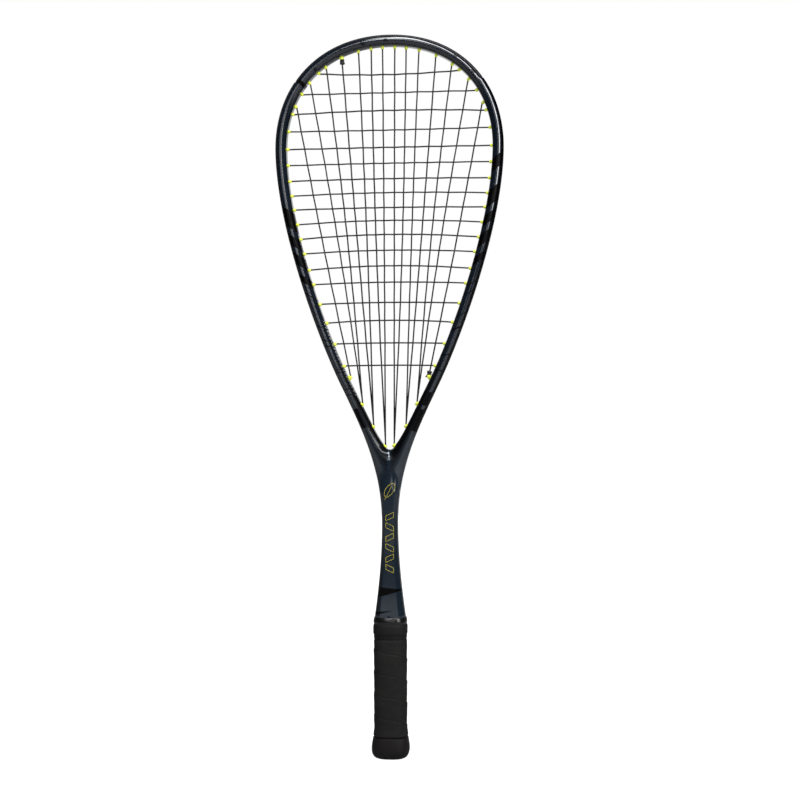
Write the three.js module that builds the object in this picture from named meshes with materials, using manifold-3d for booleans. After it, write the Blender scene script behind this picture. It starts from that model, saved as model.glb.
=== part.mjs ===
// Strung squash racket, in millimetres.
// X runs across the face, Y through it (the front is at -Y) and Z up along the handle.
// The origin is the middle of the butt end, which is flat and carries the upright racket.
import * as THREE from 'three';
import Module from 'manifold-3d';

const wasm = await Module();
wasm.setup();

// Overall
const LENGTH = 678;
const HEAD_HALF = 107.5;
const WIDEST_Z = 573;

// Hoop and shaft
const HOOP_THICK = 10.3;
const LEG_THICK = 9.2;
const HOOP_HALF_DEPTH = 9.2;
const SHAFT_HALF_DEPTH = 9.8;
const SHAFT_TOP_HALF_DEPTH = 11.6;
const WALL = 1.35;
const GROOVE_DEPTH = 2.8;
const GROOVE_HALF = 2.9;
const GROOVE_END_Z = 258;
const V_Z = 281;

// String and the holes that it runs through
const STRING_R = 0.6;
const WEAVE = 0.67;
const PAIR = 0.7;
const LANE = 1.5;
const BARREL = { outer: 1.5, bore: 0.95, hole: 2.0, back: 0.4 };
const WIDE_BARREL = { outer: 2.2, bore: 1.8, hole: 2.65, back: 2.0 };
const PROUD = 2.4;
const STRIP_THICK = 0.7;
const RUN_LEVEL = 2.0;
const MOUTH = 0.9;
const TUNNEL_Z = 267;

// Bumper guard
const BUMPER_THICK = 1.3;
const BUMPER_END_Z = 634;
const SEAT_TOP_Z = 637;
const SEAT_FOOT_Z = 627;

// Handle
const COLLAR_TOP_Z = 132.5;
const WRAP_FOOT_Z = 20.9;
const WRAP_TOP_Z = 123.4;
const WRAP_PITCH = 20.5;
const CAP_TOP_Z = 38;
const SQUARISH = 2.7;
const INSERT = { halfWidth: 9.6, halfDepth: 8.0, topZ: 124, footZ: 12 };
const CORE = { halfWidth: 13.0, halfDepth: 11.6, foot: 3.9, gap: 0.3 };

// Each main string of one half: its top grommet's X, its bottom grommet and its sideways bow.
const MAINS = [
  { top: 5.8, grommet: 1, bow: -0.2 },
  { top: 16.5, grommet: 1, bow: 1.9 },
  { top: 28.5, grommet: 2, bow: -0.8 },
  { top: 44.3, grommet: 2, bow: 0.3 },
  { top: 59.2, grommet: 3, bow: -2.5 },
  { top: 74.4, grommet: 3, bow: -1.8 },
  { top: 87.5, grommet: 4, bow: 1.1 },
];
const LOW_GROMMET_Z = [293.3, 311.6, 332.6, 358.2];
const LOW_PROUD = [1.0, 1.0, 1.2, PROUD];

// Each cross string: the height of its ends and how far its middle is above them.
const CROSSES = [
  [643.3, -2.1], [624.2, 0], [605.6, 2.0], [589.5, -0.4], [572.7, 0.2], [557.6, 0.4],
  [542.6, 0.9], [528.7, 1.7], [515.5, 0.9], [501.6, 2.7], [487.8, 3.3], [474.0, 2.3],
  [458.6, 3.1], [444.8, 1.5], [426.2, 1.1], [408.4, 2.1], [388.6, 0.7], [367.9, 0.4],
];

const COLOURS = {
  navy: [0x1f2b34, 0.25, 0.1],
  black: [0x141416, 0.45, 0],
  yellow: [0xdfee30, 0.45, 0],
  string: [0x121214, 0.4, 0],
  foam: [0xd8cfae, 0.9, 0],
  grip: [0x232323, 0.75, 0],
  cap: [0x1d1b1c, 0.6, 0],
  steel: [0xa9adb2, 0.3, 1],
};

const lerp = THREE.MathUtils.lerp;
const smooth = (x, lo, hi) => THREE.MathUtils.smoothstep(x, lo, hi);
const vec = (x, y, z) => new THREE.Vector3(x, y, z);

// ---------- solids ----------

function toManifold(points, triangles) {
  let volume = 0;
  for (let i = 0; i < triangles.length; i += 3) {
    const [a, b, c] = [0, 1, 2].map((k) => points[triangles[i + k]]);
    volume += a.dot(b.clone().cross(c)) / 6;
  }
  if (volume < 0) {
    triangles = triangles.toReversed();
  }
  return new wasm.Manifold(new wasm.Mesh({
    numProp: 3,
    vertProperties: new Float32Array(points.flatMap((p) => p.toArray())),
    triVerts: new Uint32Array(triangles),
  }));
}

// A solid through a row of rings. flats gives each end ring in its own plane, for its cap.
function loft(rings, firstFlat, lastFlat) {
  const n = rings[0].length;
  const points = rings.flat();
  const triangles = [];
  for (let r = 0; r + 1 < rings.length; r += 1) {
    for (let i = 0; i < n; i += 1) {
      const a = r * n + i;
      const b = r * n + ((i + 1) % n);
      triangles.push(a, b, b + n, a, b + n, a + n);
    }
  }
  const cap = (flat, offset, follow) => {
    const corners = flat.map(([u, v]) => new THREE.Vector2(u, v));
    const wanted = THREE.ShapeUtils.area(corners) * (follow ? 1 : -1);
    for (const face of THREE.ShapeUtils.triangulateShape(corners, [])) {
      const turn = THREE.ShapeUtils.area(face.map((i) => corners[i]));
      const turned = turn * wanted > 0 ? face : face.toReversed();
      triangles.push(...turned.map((i) => i + offset));
    }
  };
  cap(firstFlat, 0, false);
  cap(lastFlat, (rings.length - 1) * n, true);
  return toManifold(points, triangles);
}

// A straight prism from a to b, whose corners start from the Y direction.
function rod(a, b, radius, sides = 6) {
  const along = b.clone().sub(a).normalize();
  const across = vec(0, 1, 0).cross(along).normalize();
  const up = along.clone().cross(across);
  const flat = [];
  for (let i = 0; i < sides; i += 1) {
    const turn = (2 * Math.PI * i) / sides;
    flat.push([radius * Math.cos(turn), radius * Math.sin(turn)]);
  }
  const ring = (centre) => flat.map(([u, v]) => centre.clone().addScaledVector(up, u)
    .addScaledVector(across, v));
  return loft([ring(a), ring(b)], flat, flat);
}

// A round cord along a bent line, mitred at its corners.
function cord(line, radius, sides) {
  const rings = [];
  const flat = [];
  for (let i = 0; i < sides; i += 1) {
    const turn = (2 * Math.PI * (i + 0.5)) / sides;
    flat.push([radius * Math.cos(turn), radius * Math.sin(turn)]);
  }
  let side = vec(0, 1, 0);
  line.forEach((p, i) => {
    const before = p.clone().sub(line[Math.max(i - 1, 0)]).normalize();
    const after = line[Math.min(i + 1, line.length - 1)].clone().sub(p).normalize();
    const inward = i === 0 ? after : before;
    const outward = i === line.length - 1 ? before : after;
    const plane = inward.clone().add(outward).normalize();
    side.addScaledVector(inward, -side.dot(inward)).normalize();
    const other = inward.clone().cross(side);
    rings.push(flat.map(([u, v]) => {
      const q = side.clone().multiplyScalar(u).addScaledVector(other, v);
      return p.clone().add(q).addScaledVector(inward, -q.dot(plane) / inward.dot(plane));
    }));
    const turn = new THREE.Quaternion().setFromUnitVectors(inward, outward);
    side.applyQuaternion(turn);
  });
  return loft(rings, flat, flat);
}

function box(centre, size) {
  const rings = [-0.5, 0.5].map((k) => [[-1, -1], [1, -1], [1, 1], [-1, 1]].map(([a, b]) => vec(
    centre[0] + (a * size[0]) / 2,
    centre[1] + (b * size[1]) / 2,
    centre[2] + k * size[2],
  )));
  const flat = [[-1, -1], [1, -1], [1, 1], [-1, 1]];
  return loft(rings, flat, flat);
}

function mirrored(solid) {
  return solid.mirror([1, 0, 0]);
}

// ---------- outline of the right half, from the top of the head to the top of the grip ----------

const OUTLINE = [
  [[0, LENGTH], [67, LENGTH], [HEAD_HALF, 632], [HEAD_HALF, WIDEST_Z]],
  [[HEAD_HALF, WIDEST_Z], [HEAD_HALF, 501], [67.5, 394.9], [46.8, 351.9]],
  [[46.8, 351.9], [26.9, 310.5], [7.3, 272.8], [7.3, 220]],
  [[7.3, 220], [7.3, 190.3], [10.1, 162.3], [14.3, 133]],
];
const outline = new THREE.CurvePath();
for (const corners of OUTLINE) {
  outline.add(new THREE.CubicBezierCurve(...corners.map(([x, z]) => new THREE.Vector2(x, z))));
}
const OUTLINE_LENGTH = outline.getLength();

// The outline point at a signed distance from the top, and the direction into the hoop there.
function edgeAt(s) {
  const t = Math.min(Math.abs(s) / OUTLINE_LENGTH, 1);
  const p = outline.getPoint(t);
  const along = outline.getTangent(t);
  const side = s < 0 ? -1 : 1;
  if (t === 0) {
    return { x: 0, z: LENGTH, inX: 0, inZ: -1 };
  }
  return { x: side * p.x, z: p.y, inX: side * along.y, inZ: -along.x };
}

// A point at depth u inside the outline and at y = v.
function place(s, u, v) {
  const e = edgeAt(s);
  return vec(e.x + u * e.inX, v, e.z + u * e.inZ);
}

// The distance along the right half at which a falling quantity reaches a value.
function solve(quantity, value, lo = 0, hi = OUTLINE_LENGTH) {
  for (let i = 0; i < 40; i += 1) {
    const mid = (lo + hi) / 2;
    if (quantity(mid) > value) {
      lo = mid;
    } else {
      hi = mid;
    }
  }
  return (lo + hi) / 2;
}
const distanceAtZ = (z) => solve((s) => edgeAt(s).z, z);

const SAMPLES = Array.from({ length: 601 }, (_, i) => (i * OUTLINE_LENGTH) / 600);
const SAMPLE_POINTS = SAMPLES.map((s) => edgeAt(s));

// The nearest place on the outline to a point of the right half: its distance and its depth.
function nearest(x, z) {
  let best = { depth: Infinity, s: 0 };
  SAMPLE_POINTS.forEach((e, i) => {
    const depth = (x - e.x) * e.inX + (z - e.z) * e.inZ;
    const gap = Math.hypot(x - e.x, z - e.z);
    if (gap < Math.abs(best.gap ?? Infinity)) {
      best = { depth, gap, s: SAMPLES[i] };
    }
  });
  return best;
}

// ---------- cross-section of one half of the frame ----------

const bumperShare = (z) => smooth(z, SEAT_FOOT_Z, SEAT_TOP_Z);
const grooveDepth = (z) => GROOVE_DEPTH * smooth(z, GROOVE_END_Z - 8, GROOVE_END_Z + 8);
const inset = (z) => BUMPER_THICK * bumperShare(z);

function thickness(z) {
  const merge = 9 * Math.exp(-(z - V_Z) / 14.5);
  return LEG_THICK + (HOOP_THICK - LEG_THICK) * smooth(z, 380, 560) + merge;
}

function halfDepth(z) {
  const throat = lerp(SHAFT_HALF_DEPTH, HOOP_HALF_DEPTH, smooth(z, 250, 330));
  return lerp(SHAFT_TOP_HALF_DEPTH, throat, smooth(z, 128, 205));
}

// Depths are limited to the racket's middle plane, so that both halves meet there.
function section(p, skin) {
  const shaft = 1 - smooth(p.z, 255, V_Z);
  const e = inset(p.z);
  const g = grooveDepth(p.z);
  const t = Math.min(thickness(Math.max(p.z, 262)), 60) - e;
  const h = p.halfDepth ?? halfDepth(p.z);
  const middle = p.inX > -0.2 ? Infinity : -p.x / p.inX;
  const w = Math.min(middle, 40);
  const blend = (hoop, stem) => hoop.map(([u, v], i) => [
    lerp(u, stem[i][0], shaft),
    lerp(v, stem[i][1], shaft),
  ]);
  const outer = blend(
    [[g, GROOVE_HALF], [0.3, 3.4], [0.09 * t, 0.63 * h], [0.32 * t, 0.935 * h],
      [0.55 * t, h], [0.84 * t, 0.83 * h], [0.98 * t, 0.46 * h], [t, 0]],
    [[g, GROOVE_HALF], [0.2, 3.5], [0.08 * w, 0.58 * h], [0.3 * w, 0.87 * h],
      [0.62 * w, 0.98 * h], [w, h], [w, 0.5 * h], [w, 0]],
  ).map(([u, v]) => [Math.min(u + e, middle), v]);
  const inner = blend(
    [[g + WALL, 3.4], [0.27 * t, 0.66 * h], [0.55 * t, h - WALL], [0.83 * t, 0.44 * h],
      [t - WALL, 0]],
    [[g + WALL, 3.2], [0.3 * w, 0.66 * h], [0.55 * w, h - 1.2 * WALL],
      [w - 1, h - 1.1 * WALL], [w - 1, 0]],
  ).map(([u, v]) => [Math.min(u + e, middle - 1), v]);
  const half = skin ? outer : inner;
  return [...half, ...half.slice(0, -1).toReversed().map(([u, v]) => [u, -v])];
}

const STATIONS = [];
OUTLINE.forEach((_, k) => {
  const curve = outline.curves[k];
  const steps = [9, 6, 9, 3][k];
  for (let i = 0; i < steps; i += 1) {
    const p = curve.getPoint(i / steps);
    const along = curve.getTangent(i / steps);
    STATIONS.push({ x: p.x, z: p.y, inX: along.y, inZ: -along.x });
  }
});
STATIONS[0] = { x: 0, z: LENGTH, inX: 0, inZ: -1 };
for (const z of [SEAT_TOP_Z, (SEAT_TOP_Z + SEAT_FOOT_Z) / 2, SEAT_FOOT_Z]) {
  STATIONS.push(edgeAt(distanceAtZ(z)));
}
STATIONS.sort((a, b) => b.z - a.z);
STATIONS.push({ x: 14.3, z: 133, inX: -1, inZ: 0 });
STATIONS.push({ x: 13.4, z: 129.5, inX: -1, inZ: 0, halfDepth: 11.3 });
for (const z of [INSERT.topZ, INSERT.footZ]) {
  STATIONS.push({ x: INSERT.halfWidth, z, inX: -1, inZ: 0, halfDepth: INSERT.halfDepth });
}

function halfFrame(skin, footZ) {
  const stations = STATIONS.map((p) => ({ ...p }));
  stations.at(-1).z = footZ;
  const flats = stations.map((p) => section({ ...p, z: Math.max(p.z, 12) }, skin));
  const rings = stations.map((p, k) => flats[k].map(([u, v]) => {
    const x = p.x + u * p.inX;
    return vec(Math.abs(x) < 1e-6 ? 0 : x, v, p.z + u * p.inZ);
  }));
  const bulged = flats.at(-1).map(([u, v]) => [u - 0.001 * v * v, v]);
  return loft(rings, flats[0], bulged);
}

// ---------- string holes ----------

const tipAt = (s, proud = PROUD) => place(s, thickness(edgeAt(s).z) + proud, 0);
const TOP_END = distanceAtZ(560);

// A hole from its tip inside the hoop, along its string, to its mouth in the groove.
// The string turns at the mouth and at the tail, which is straight above the mouth.
function hole(tip, pull, size, tailY = 0) {
  const start = nearest(tip.x, tip.z);
  const e = edgeAt(start.s);
  const along = vec(pull[0] - e.inX, 0, pull[1] - e.inZ).normalize();
  let lo = 0;
  let hi = 40;
  for (let i = 0; i < 30; i += 1) {
    const mid = (lo + hi) / 2;
    const q = tip.clone().addScaledVector(along, mid);
    const spot = nearest(q.x, q.z);
    const level = runDepth(spotZ(spot));
    if (spot.depth > level + MOUTH) {
      lo = mid;
    } else {
      hi = mid;
    }
  }
  const mouth = tip.clone().addScaledVector(along, lo);
  const spot = nearest(mouth.x, mouth.z);
  mouth.y = tailY;
  const tail = place(spot.s, runDepth(spotZ(spot)), tailY);
  return { tip, mouth, tail, size, s: spot.s };
}
const spotZ = (spot) => edgeAt(spot.s).z;
const runDepth = (z) => grooveDepth(z) + inset(z) - RUN_LEVEL;

function topHole(i) {
  const { top } = MAINS[i];
  const s = solve((d) => -tipAt(d).x, -top, 0, TOP_END);
  const low = lowTip(MAINS[i].grommet);
  const tip = tipAt(s);
  const pull = tip.clone().sub(low).normalize();
  const tailY = { 5: -LANE, 6: LANE }[i] ?? 0;
  return hole(tip, [pull.x, pull.z], BARREL, tailY);
}

function lowTip(grommet) {
  const z = LOW_GROMMET_Z[grommet - 1];
  const proud = LOW_PROUD[grommet - 1];
  const s = solve((d) => tipAt(d, proud).z, z, distanceAtZ(420), distanceAtZ(270));
  return tipAt(s, proud);
}

function flip(h) {
  const turn = (p) => vec(-p.x, p.y, p.z);
  return { ...h, tip: turn(h.tip), mouth: turn(h.mouth), tail: turn(h.tail), s: -h.s };
}

const RIGHT = {
  top: MAINS.map((_, i) => topHole(i)),
  low: [1, 2, 3, 4].map((g) => hole(lowTip(g), [0, -1], WIDE_BARREL)),
  cross: CROSSES.map(([z]) => {
    const s = solve((d) => tipAt(d).z, z, distanceAtZ(672), distanceAtZ(330));
    return hole(tipAt(s), [1, 0], BARREL);
  }),
};
const LEFT = {
  top: RIGHT.top.map(flip),
  low: RIGHT.low.map(flip),
  cross: RIGHT.cross.map(flip),
};
LEFT.top[3].size = { ...WIDE_BARREL, back: BARREL.back };

const SIDES = [LEFT, RIGHT];
const ALL_HOLES = SIDES.flatMap((side) => [...side.top, ...side.low, ...side.cross]);

function along(h, from, to) {
  const direction = h.mouth.clone().sub(h.tip).normalize();
  return [h.tip.clone().addScaledVector(direction, from),
    h.mouth.clone().addScaledVector(direction, to)];
}

const bores = (holes) => holes.map((h) => rod(...along(h, -3, 5), h.size.bore));
const barrels = (holes) => holes.map((h) => rod(...along(h, 0, -h.size.back), h.size.outer));

// ---------- frame ----------

const unite = (list) => list.reduce((a, b) => a.add(b));
const cut = (body, tools) => tools.reduce((a, b) => a.subtract(b), body);

function frameSolid() {
  const skin = halfFrame(true, INSERT.footZ);
  const hollow = halfFrame(false, INSERT.footZ - 5);
  const body = skin.add(mirrored(skin)).subtract(hollow.add(mirrored(hollow)));
  const tools = ALL_HOLES.map((h) => rod(...along(h, -3, 5), h.size.hole));
  tools.push(rod(vec(-20, 0, TUNNEL_Z), vec(20, 0, TUNNEL_Z), 2.1));
  return cut(body, tools);
}

// ---------- bumper guard, grommet strips and grommets ----------

function band(from, to, steps, profile) {
  const rings = [];
  const flats = [];
  for (let i = 0; i <= steps; i += 1) {
    const s = lerp(from, to, i / steps);
    const flat = profile(edgeAt(s).z);
    flats.push(flat);
    rings.push(flat.map(([u, v]) => place(s, u, v)));
  }
  return loft(rings, flats[0], flats.at(-1));
}

function bumperSolid() {
  const half = [[0, 0], [0, 3.0], [0.6, 5.4], [2.0, 7.6], [2.45, 7.1], [1.75, 5.6], [1.2, 3.2]];
  const other = half.slice(1).toReversed().map(([u, v]) => [u, -v]);
  const end = distanceAtZ(BUMPER_END_Z + 4);
  return band(-end, end, 18, () => [...half, ...other]);
}

function stripProfile(z) {
  const floor = grooveDepth(z) + inset(z) - 0.3;
  const roof = floor - STRIP_THICK;
  return [[roof, -2.5], [roof, 2.5], [floor, 2.5], [floor, -2.5]];
}

const STRIP_JOINT = distanceAtZ(616);
const STRIP_END = distanceAtZ(359.5);

function strip(from, to, steps, holes) {
  const body = unite([band(from, to, steps, stripProfile), ...barrels(holes)]);
  return cut(body, bores(holes));
}

function lowGrommet(h) {
  const flange = band(h.s - 3.2, h.s + 3.2, 2, stripProfile);
  return cut(flange.add(barrels([h])[0]), bores([h]));
}

function throatTube() {
  const end = edgeAt(distanceAtZ(TUNNEL_Z)).x - GROOVE_DEPTH + 0.3;
  const tube = rod(vec(-end, 0, TUNNEL_Z), vec(end, 0, TUNNEL_Z), 1.7);
  return tube.subtract(rod(vec(-end - 1, 0, TUNNEL_Z), vec(end + 1, 0, TUNNEL_Z), 1.1));
}

// ---------- the one string ----------

function mainX(i, z) {
  const top = RIGHT.top[i].tip;
  const low = RIGHT.low[MAINS[i].grommet - 1].tip;
  const t = (z - low.z) / (top.z - low.z);
  return lerp(low.x, top.x, t) + MAINS[i].bow * Math.sin(Math.PI * t);
}

// Where main i of one side (-1 or 1) meets cross j, or null when it passes above or below it.
function meeting(side, i, j) {
  const end = RIGHT.cross[j].tip;
  const height = (x) => end.z + CROSSES[j][1] * (1 - (x / end.x) ** 2);
  let z = end.z;
  for (let k = 0; k < 3; k += 1) {
    z = height(mainX(i, z));
  }
  const x = mainX(i, z);
  if (x > end.x - 1.2 || z > RIGHT.top[i].tip.z - 3 || z < lowTip(MAINS[i].grommet).z + 3) {
    return null;
  }
  return { x: side * x, z };
}

function sign(side, i, j) {
  const number = side < 0 ? 6 - i : 7 + i;
  return (number + j) % 2 === 0 ? 1 : -1;
}

// The lowest cross and the low grommet find a main on the same side of the string bed.
const lowSide = (side, i) => sign(side, i, CROSSES.length - 1) * PAIR;

// A main string from its low tip up to its top tip.
function mainLine(side, i, topY = 0) {
  const holes = side < 0 ? LEFT : RIGHT;
  const low = holes.low[MAINS[i].grommet - 1];
  const line = [low.tip.clone().setY(lowSide(side, i))];
  for (let j = CROSSES.length - 1; j >= 0; j -= 1) {
    const m = meeting(side, i, j);
    if (m) {
      line.push(vec(m.x, sign(side, i, j) * WEAVE, m.z));
    }
  }
  line.push(holes.top[i].tip.clone().setY(topY));
  return line;
}

// A cross string from its left tip to its right tip.
function crossLine(j) {
  const meetings = [];
  for (const side of [-1, 1]) {
    MAINS.forEach((_, i) => {
      const m = meeting(side, i, j);
      if (m) {
        meetings.push(vec(m.x, -sign(side, i, j) * WEAVE, m.z));
      }
    });
  }
  meetings.sort((a, b) => a.x - b.x);
  return [LEFT.cross[j].tip, ...meetings, RIGHT.cross[j].tip];
}

// The run in the groove from one hole to another, in a lane at y.
function grooveRun(a, b, fromY, toY, lane) {
  const length = Math.abs(b.s - a.s);
  const pieces = Math.max(2, Math.ceil((length - 5) / 12) + 1);
  const line = [a.mouth, a.tail].map((p) => p.clone().setY(fromY));
  const edge = Math.sign(b.s - a.s) * Math.min(3, length / 3);
  for (let k = 0; k < pieces; k += 1) {
    const s = lerp(a.s + edge, b.s - edge, k / (pieces - 1));
    line.push(place(s, runDepth(edgeAt(s).z), lane ?? lerp(fromY, toY, (k + 0.5) / pieces)));
  }
  line.push(...[b.tail, b.mouth].map((p) => p.clone().setY(toY)));
  return line;
}

// One half's mains in the order in which they are strung, from the middle outwards.
function halfMains(side) {
  const { top, low } = side < 0 ? LEFT : RIGHT;
  const y = (i) => lowSide(side, i);
  const shared = side < 0 ? -PAIR : 0;
  return [
    low[0].tail.clone().setY(y(0)),
    low[0].mouth.clone().setY(y(0)),
    ...mainLine(side, 0),
    ...grooveRun(top[0], top[1], 0, 0),
    ...mainLine(side, 1).toReversed(),
    ...grooveRun(low[0], low[1], y(1), y(2)),
    ...mainLine(side, 2),
    ...grooveRun(top[2], top[3], 0, shared),
    ...mainLine(side, 3, shared).toReversed(),
    ...grooveRun(low[1], low[2], y(3), y(4)),
    ...mainLine(side, 4),
    ...grooveRun(top[4], top[5], 0, -LANE, -LANE),
    ...mainLine(side, 5).toReversed(),
    ...grooveRun(low[2], low[3], y(5), y(6)),
    ...mainLine(side, 6),
  ];
}

const KNOT = 2.0;
function knotAt(h) {
  return along(h, -KNOT - 0.7, 0)[0];
}

function stringLine() {
  const bendX = edgeAt(distanceAtZ(TUNNEL_Z)).x - 0.9;
  const tunnel = [vec(-bendX, 0, TUNNEL_Z), vec(bendX, 0, TUNNEL_Z)];
  const left = [
    ...halfMains(-1),
    ...grooveRun(LEFT.top[6], LEFT.top[3], LANE, PAIR, LANE),
    LEFT.top[3].tip.clone().setY(PAIR),
    knotAt(LEFT.top[3]),
  ];
  const right = [
    ...halfMains(1),
    ...grooveRun(RIGHT.top[6], RIGHT.cross[0], LANE, 0, LANE),
  ];
  const crosses = [];
  CROSSES.forEach((_, j) => {
    const line = crossLine(j);
    crosses.push(...(j % 2 === 0 ? line.toReversed() : line));
    const holes = j % 2 === 0 ? LEFT.cross : RIGHT.cross;
    if (j + 1 < CROSSES.length) {
      crosses.push(...grooveRun(holes[j], holes[j + 1], 0, 0, 0));
    }
  });
  const tie = [
    ...grooveRun(RIGHT.cross.at(-1), RIGHT.low[3], 0, -lowSide(1, 6)),
    RIGHT.low[3].tip.clone().setY(-lowSide(1, 6)),
    knotAt(RIGHT.low[3]),
  ];
  return [...left.toReversed(), ...tunnel, ...right, ...crosses, ...tie];
}

function stringSolid() {
  const lumps = [LEFT.top[3], RIGHT.low[3]].map((h) => {
    const axis = h.tip.clone().sub(h.mouth).normalize();
    const centre = knotAt(h);
    return rod(
      centre.clone().addScaledVector(axis, -KNOT * 0.8),
      centre.clone().addScaledVector(axis, KNOT * 0.8),
      KNOT,
      8,
    );
  });
  return unite([cord(stringLine(), 1.13 * STRING_R, 4), ...lumps]);
}

// ---------- handle ----------

function octagon(halfWidth, halfDepth, corner) {
  const [a, b] = [halfWidth - corner, halfDepth - corner];
  return [[halfWidth, -b], [halfWidth, b], [a, halfDepth], [-a, halfDepth],
    [-halfWidth, b], [-halfWidth, -b], [-a, -halfDepth], [a, -halfDepth]];
}

// A point of a rounded outline between an ellipse and a rectangle.
function squarish(turn, halfWidth, halfDepth) {
  const bend = (k) => Math.sign(k) * Math.abs(k) ** (2 / SQUARISH);
  return [halfWidth * bend(Math.cos(turn)), halfDepth * bend(Math.sin(turn))];
}

// A stack of eight-sided rings, each [z, half width, half depth].
function stack(levels) {
  const flats = levels.map(([, a, b]) => octagon(a, b, 0.4 * Math.min(a, b)));
  const rings = levels.map(([z], k) => flats[k].map(([x, y]) => vec(x, y, z)));
  return loft(rings, flats[0], flats.at(-1));
}

function coreHalf(side) {
  const { halfWidth: a, halfDepth: b, foot, gap } = CORE;
  const body = stack([
    [foot, a - 1.5, b - 1.5], [CAP_TOP_Z + 0.3, a - 1.5, b - 1.5],
    [CAP_TOP_Z + 0.31, a, b], [WRAP_TOP_Z, a, b],
  ]);
  const slot = box([0, 0, 65], [2 * (INSERT.halfWidth + gap), 2 * (INSERT.halfDepth + gap), 140]);
  const other = box([0, -side * 20 + side * 0.15, 65], [60, 40, 140]);
  return cut(body, [slot, other, ...stapleSlots()]);
}

const CAP_LEVELS = [
  [0, 9.5, 8.2], [0.7, 12.2, 10.8], [2.2, 14.2, 12.6], [4.1, 16.0, 14.2],
  [6, 17.1, 15.2], [8.8, 17.7, 15.7], [13.5, 17.4, 15.3], [17.2, 16.8, 14.8],
  [20.5, 16.1, 14.3],
];

function capSolid() {
  const flare = stack(CAP_LEVELS);
  const skirt = stack([[10, 12.8, 11.4], [CAP_TOP_Z, 12.8, 11.4]]);
  const cup = stack([[3.5, 11.8, 10.4], [CAP_TOP_Z + 1, 11.8, 10.4]]);
  return cut(flare.add(skirt), [cup, ...stapleSlots()]);
}

// A staple, or with a gap the room it needs: a crown on the skirt and two legs into the core.
function staple(side, gap) {
  const z = 31;
  const crown = box([0, side * 11.3, z], [9 + 2 * gap, 0.6 + 2 * gap, 1.2 + 2 * gap]);
  const legs = [-4.1, 4.1].map((x) => box(
    [x, side * 10.1, z],
    [0.8 + 2 * gap, 2.4 + 2 * gap, 1.2 + 2 * gap],
  ));
  return unite([crown, ...legs]);
}

function stapleSlots() {
  return [staple(-1, 0.25), staple(1, 0.25)];
}

// The wrap's outside: a flare over the cap's edge, a spiral seam and a thinner top end.
function wrapSolid() {
  const columns = 16;
  const rows = 30;
  const rings = [];
  let flat = [];
  for (let r = 0; r <= rows; r += 1) {
    const z = lerp(WRAP_FOOT_Z, WRAP_TOP_Z, r / rows);
    const flare = 0.9 * (1 - smooth(z, WRAP_FOOT_Z, 30));
    const squeeze = 0.35 * smooth(z, 110, 112.5);
    flat = [];
    for (let i = 0; i < columns; i += 1) {
      const turn = (2 * Math.PI * (i + 0.5)) / columns;
      const lap = (z / WRAP_PITCH + turn / (2 * Math.PI)) % 1;
      const off = ((lap - 0.5) * WRAP_PITCH) / 2.2;
      const seam = 0.4 * Math.exp(-(off * off));
      const swell = 0.15 + flare - squeeze - seam * (1 - smooth(z, 107, 110));
      flat.push(squarish(turn, 15.15 + swell, 13.75 + swell));
    }
    rings.push(flat.map(([x, y]) => vec(x, y, z)));
  }
  const body = loft(rings, flat, flat);
  const room = stack([
    [WRAP_FOOT_Z - 1, CORE.halfWidth + 0.2, CORE.halfDepth + 0.2],
    [WRAP_TOP_Z + 1, CORE.halfWidth + 0.2, CORE.halfDepth + 0.2],
  ]);
  return body.subtract(room);
}

function oval(levels) {
  const turns = Array.from({ length: 20 }, (_, i) => (2 * Math.PI * (i + 0.5)) / 20);
  const ring = (a, b) => turns.map((turn) => squarish(turn, a, b));
  const flats = levels.map(([, a, b]) => ring(a, b));
  const rings = levels.map(([z], k) => flats[k].map(([x, y]) => vec(x, y, z)));
  return loft(rings, flats[0], flats.at(-1));
}

function tapeSolid() {
  return oval([[112.8, 15.45, 14.1], [123, 15.45, 14.1]])
    .subtract(oval([[112, 15.2, 13.85], [124, 15.2, 13.85]]));
}

function collarSolid() {
  const skin = oval([
    [117, 15.85, 14.5], [118, 16.05, 14.7], [122, 16.05, 14.7], [125, 15.7, 14.3],
    [130, 15.35, 13.6], [COLLAR_TOP_Z, 15.05, 13.2],
  ]);
  const room = oval([
    [116, 15.7, 14.35], [123.8, 15.7, 14.35], [124.5, 15.3, 13.9],
    [129, 14.9, 13.1], [134, 14.7, 12.9],
  ]);
  return skin.subtract(room);
}

// ---------- the assembly ----------

function toMesh(name, solid, colour) {
  const m = solid.getMesh();
  const geometry = new THREE.BufferGeometry();
  geometry.setAttribute('position', new THREE.BufferAttribute(
    Float32Array.from(m.vertProperties),
    m.numProp,
  ));
  geometry.setIndex(new THREE.BufferAttribute(Uint32Array.from(m.triVerts), 1));
  geometry.computeVertexNormals();
  const [hex, roughness, metalness] = COLOURS[colour];
  const material = new THREE.MeshStandardMaterial({ color: hex, roughness, metalness });
  material.name = colour;
  const mesh = new THREE.Mesh(geometry, material);
  mesh.name = name;
  return mesh;
}

const racket = new THREE.Group();
racket.name = 'squash_racket';
const add = (name, solid, colour) => racket.add(toMesh(name, solid, colour));

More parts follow.
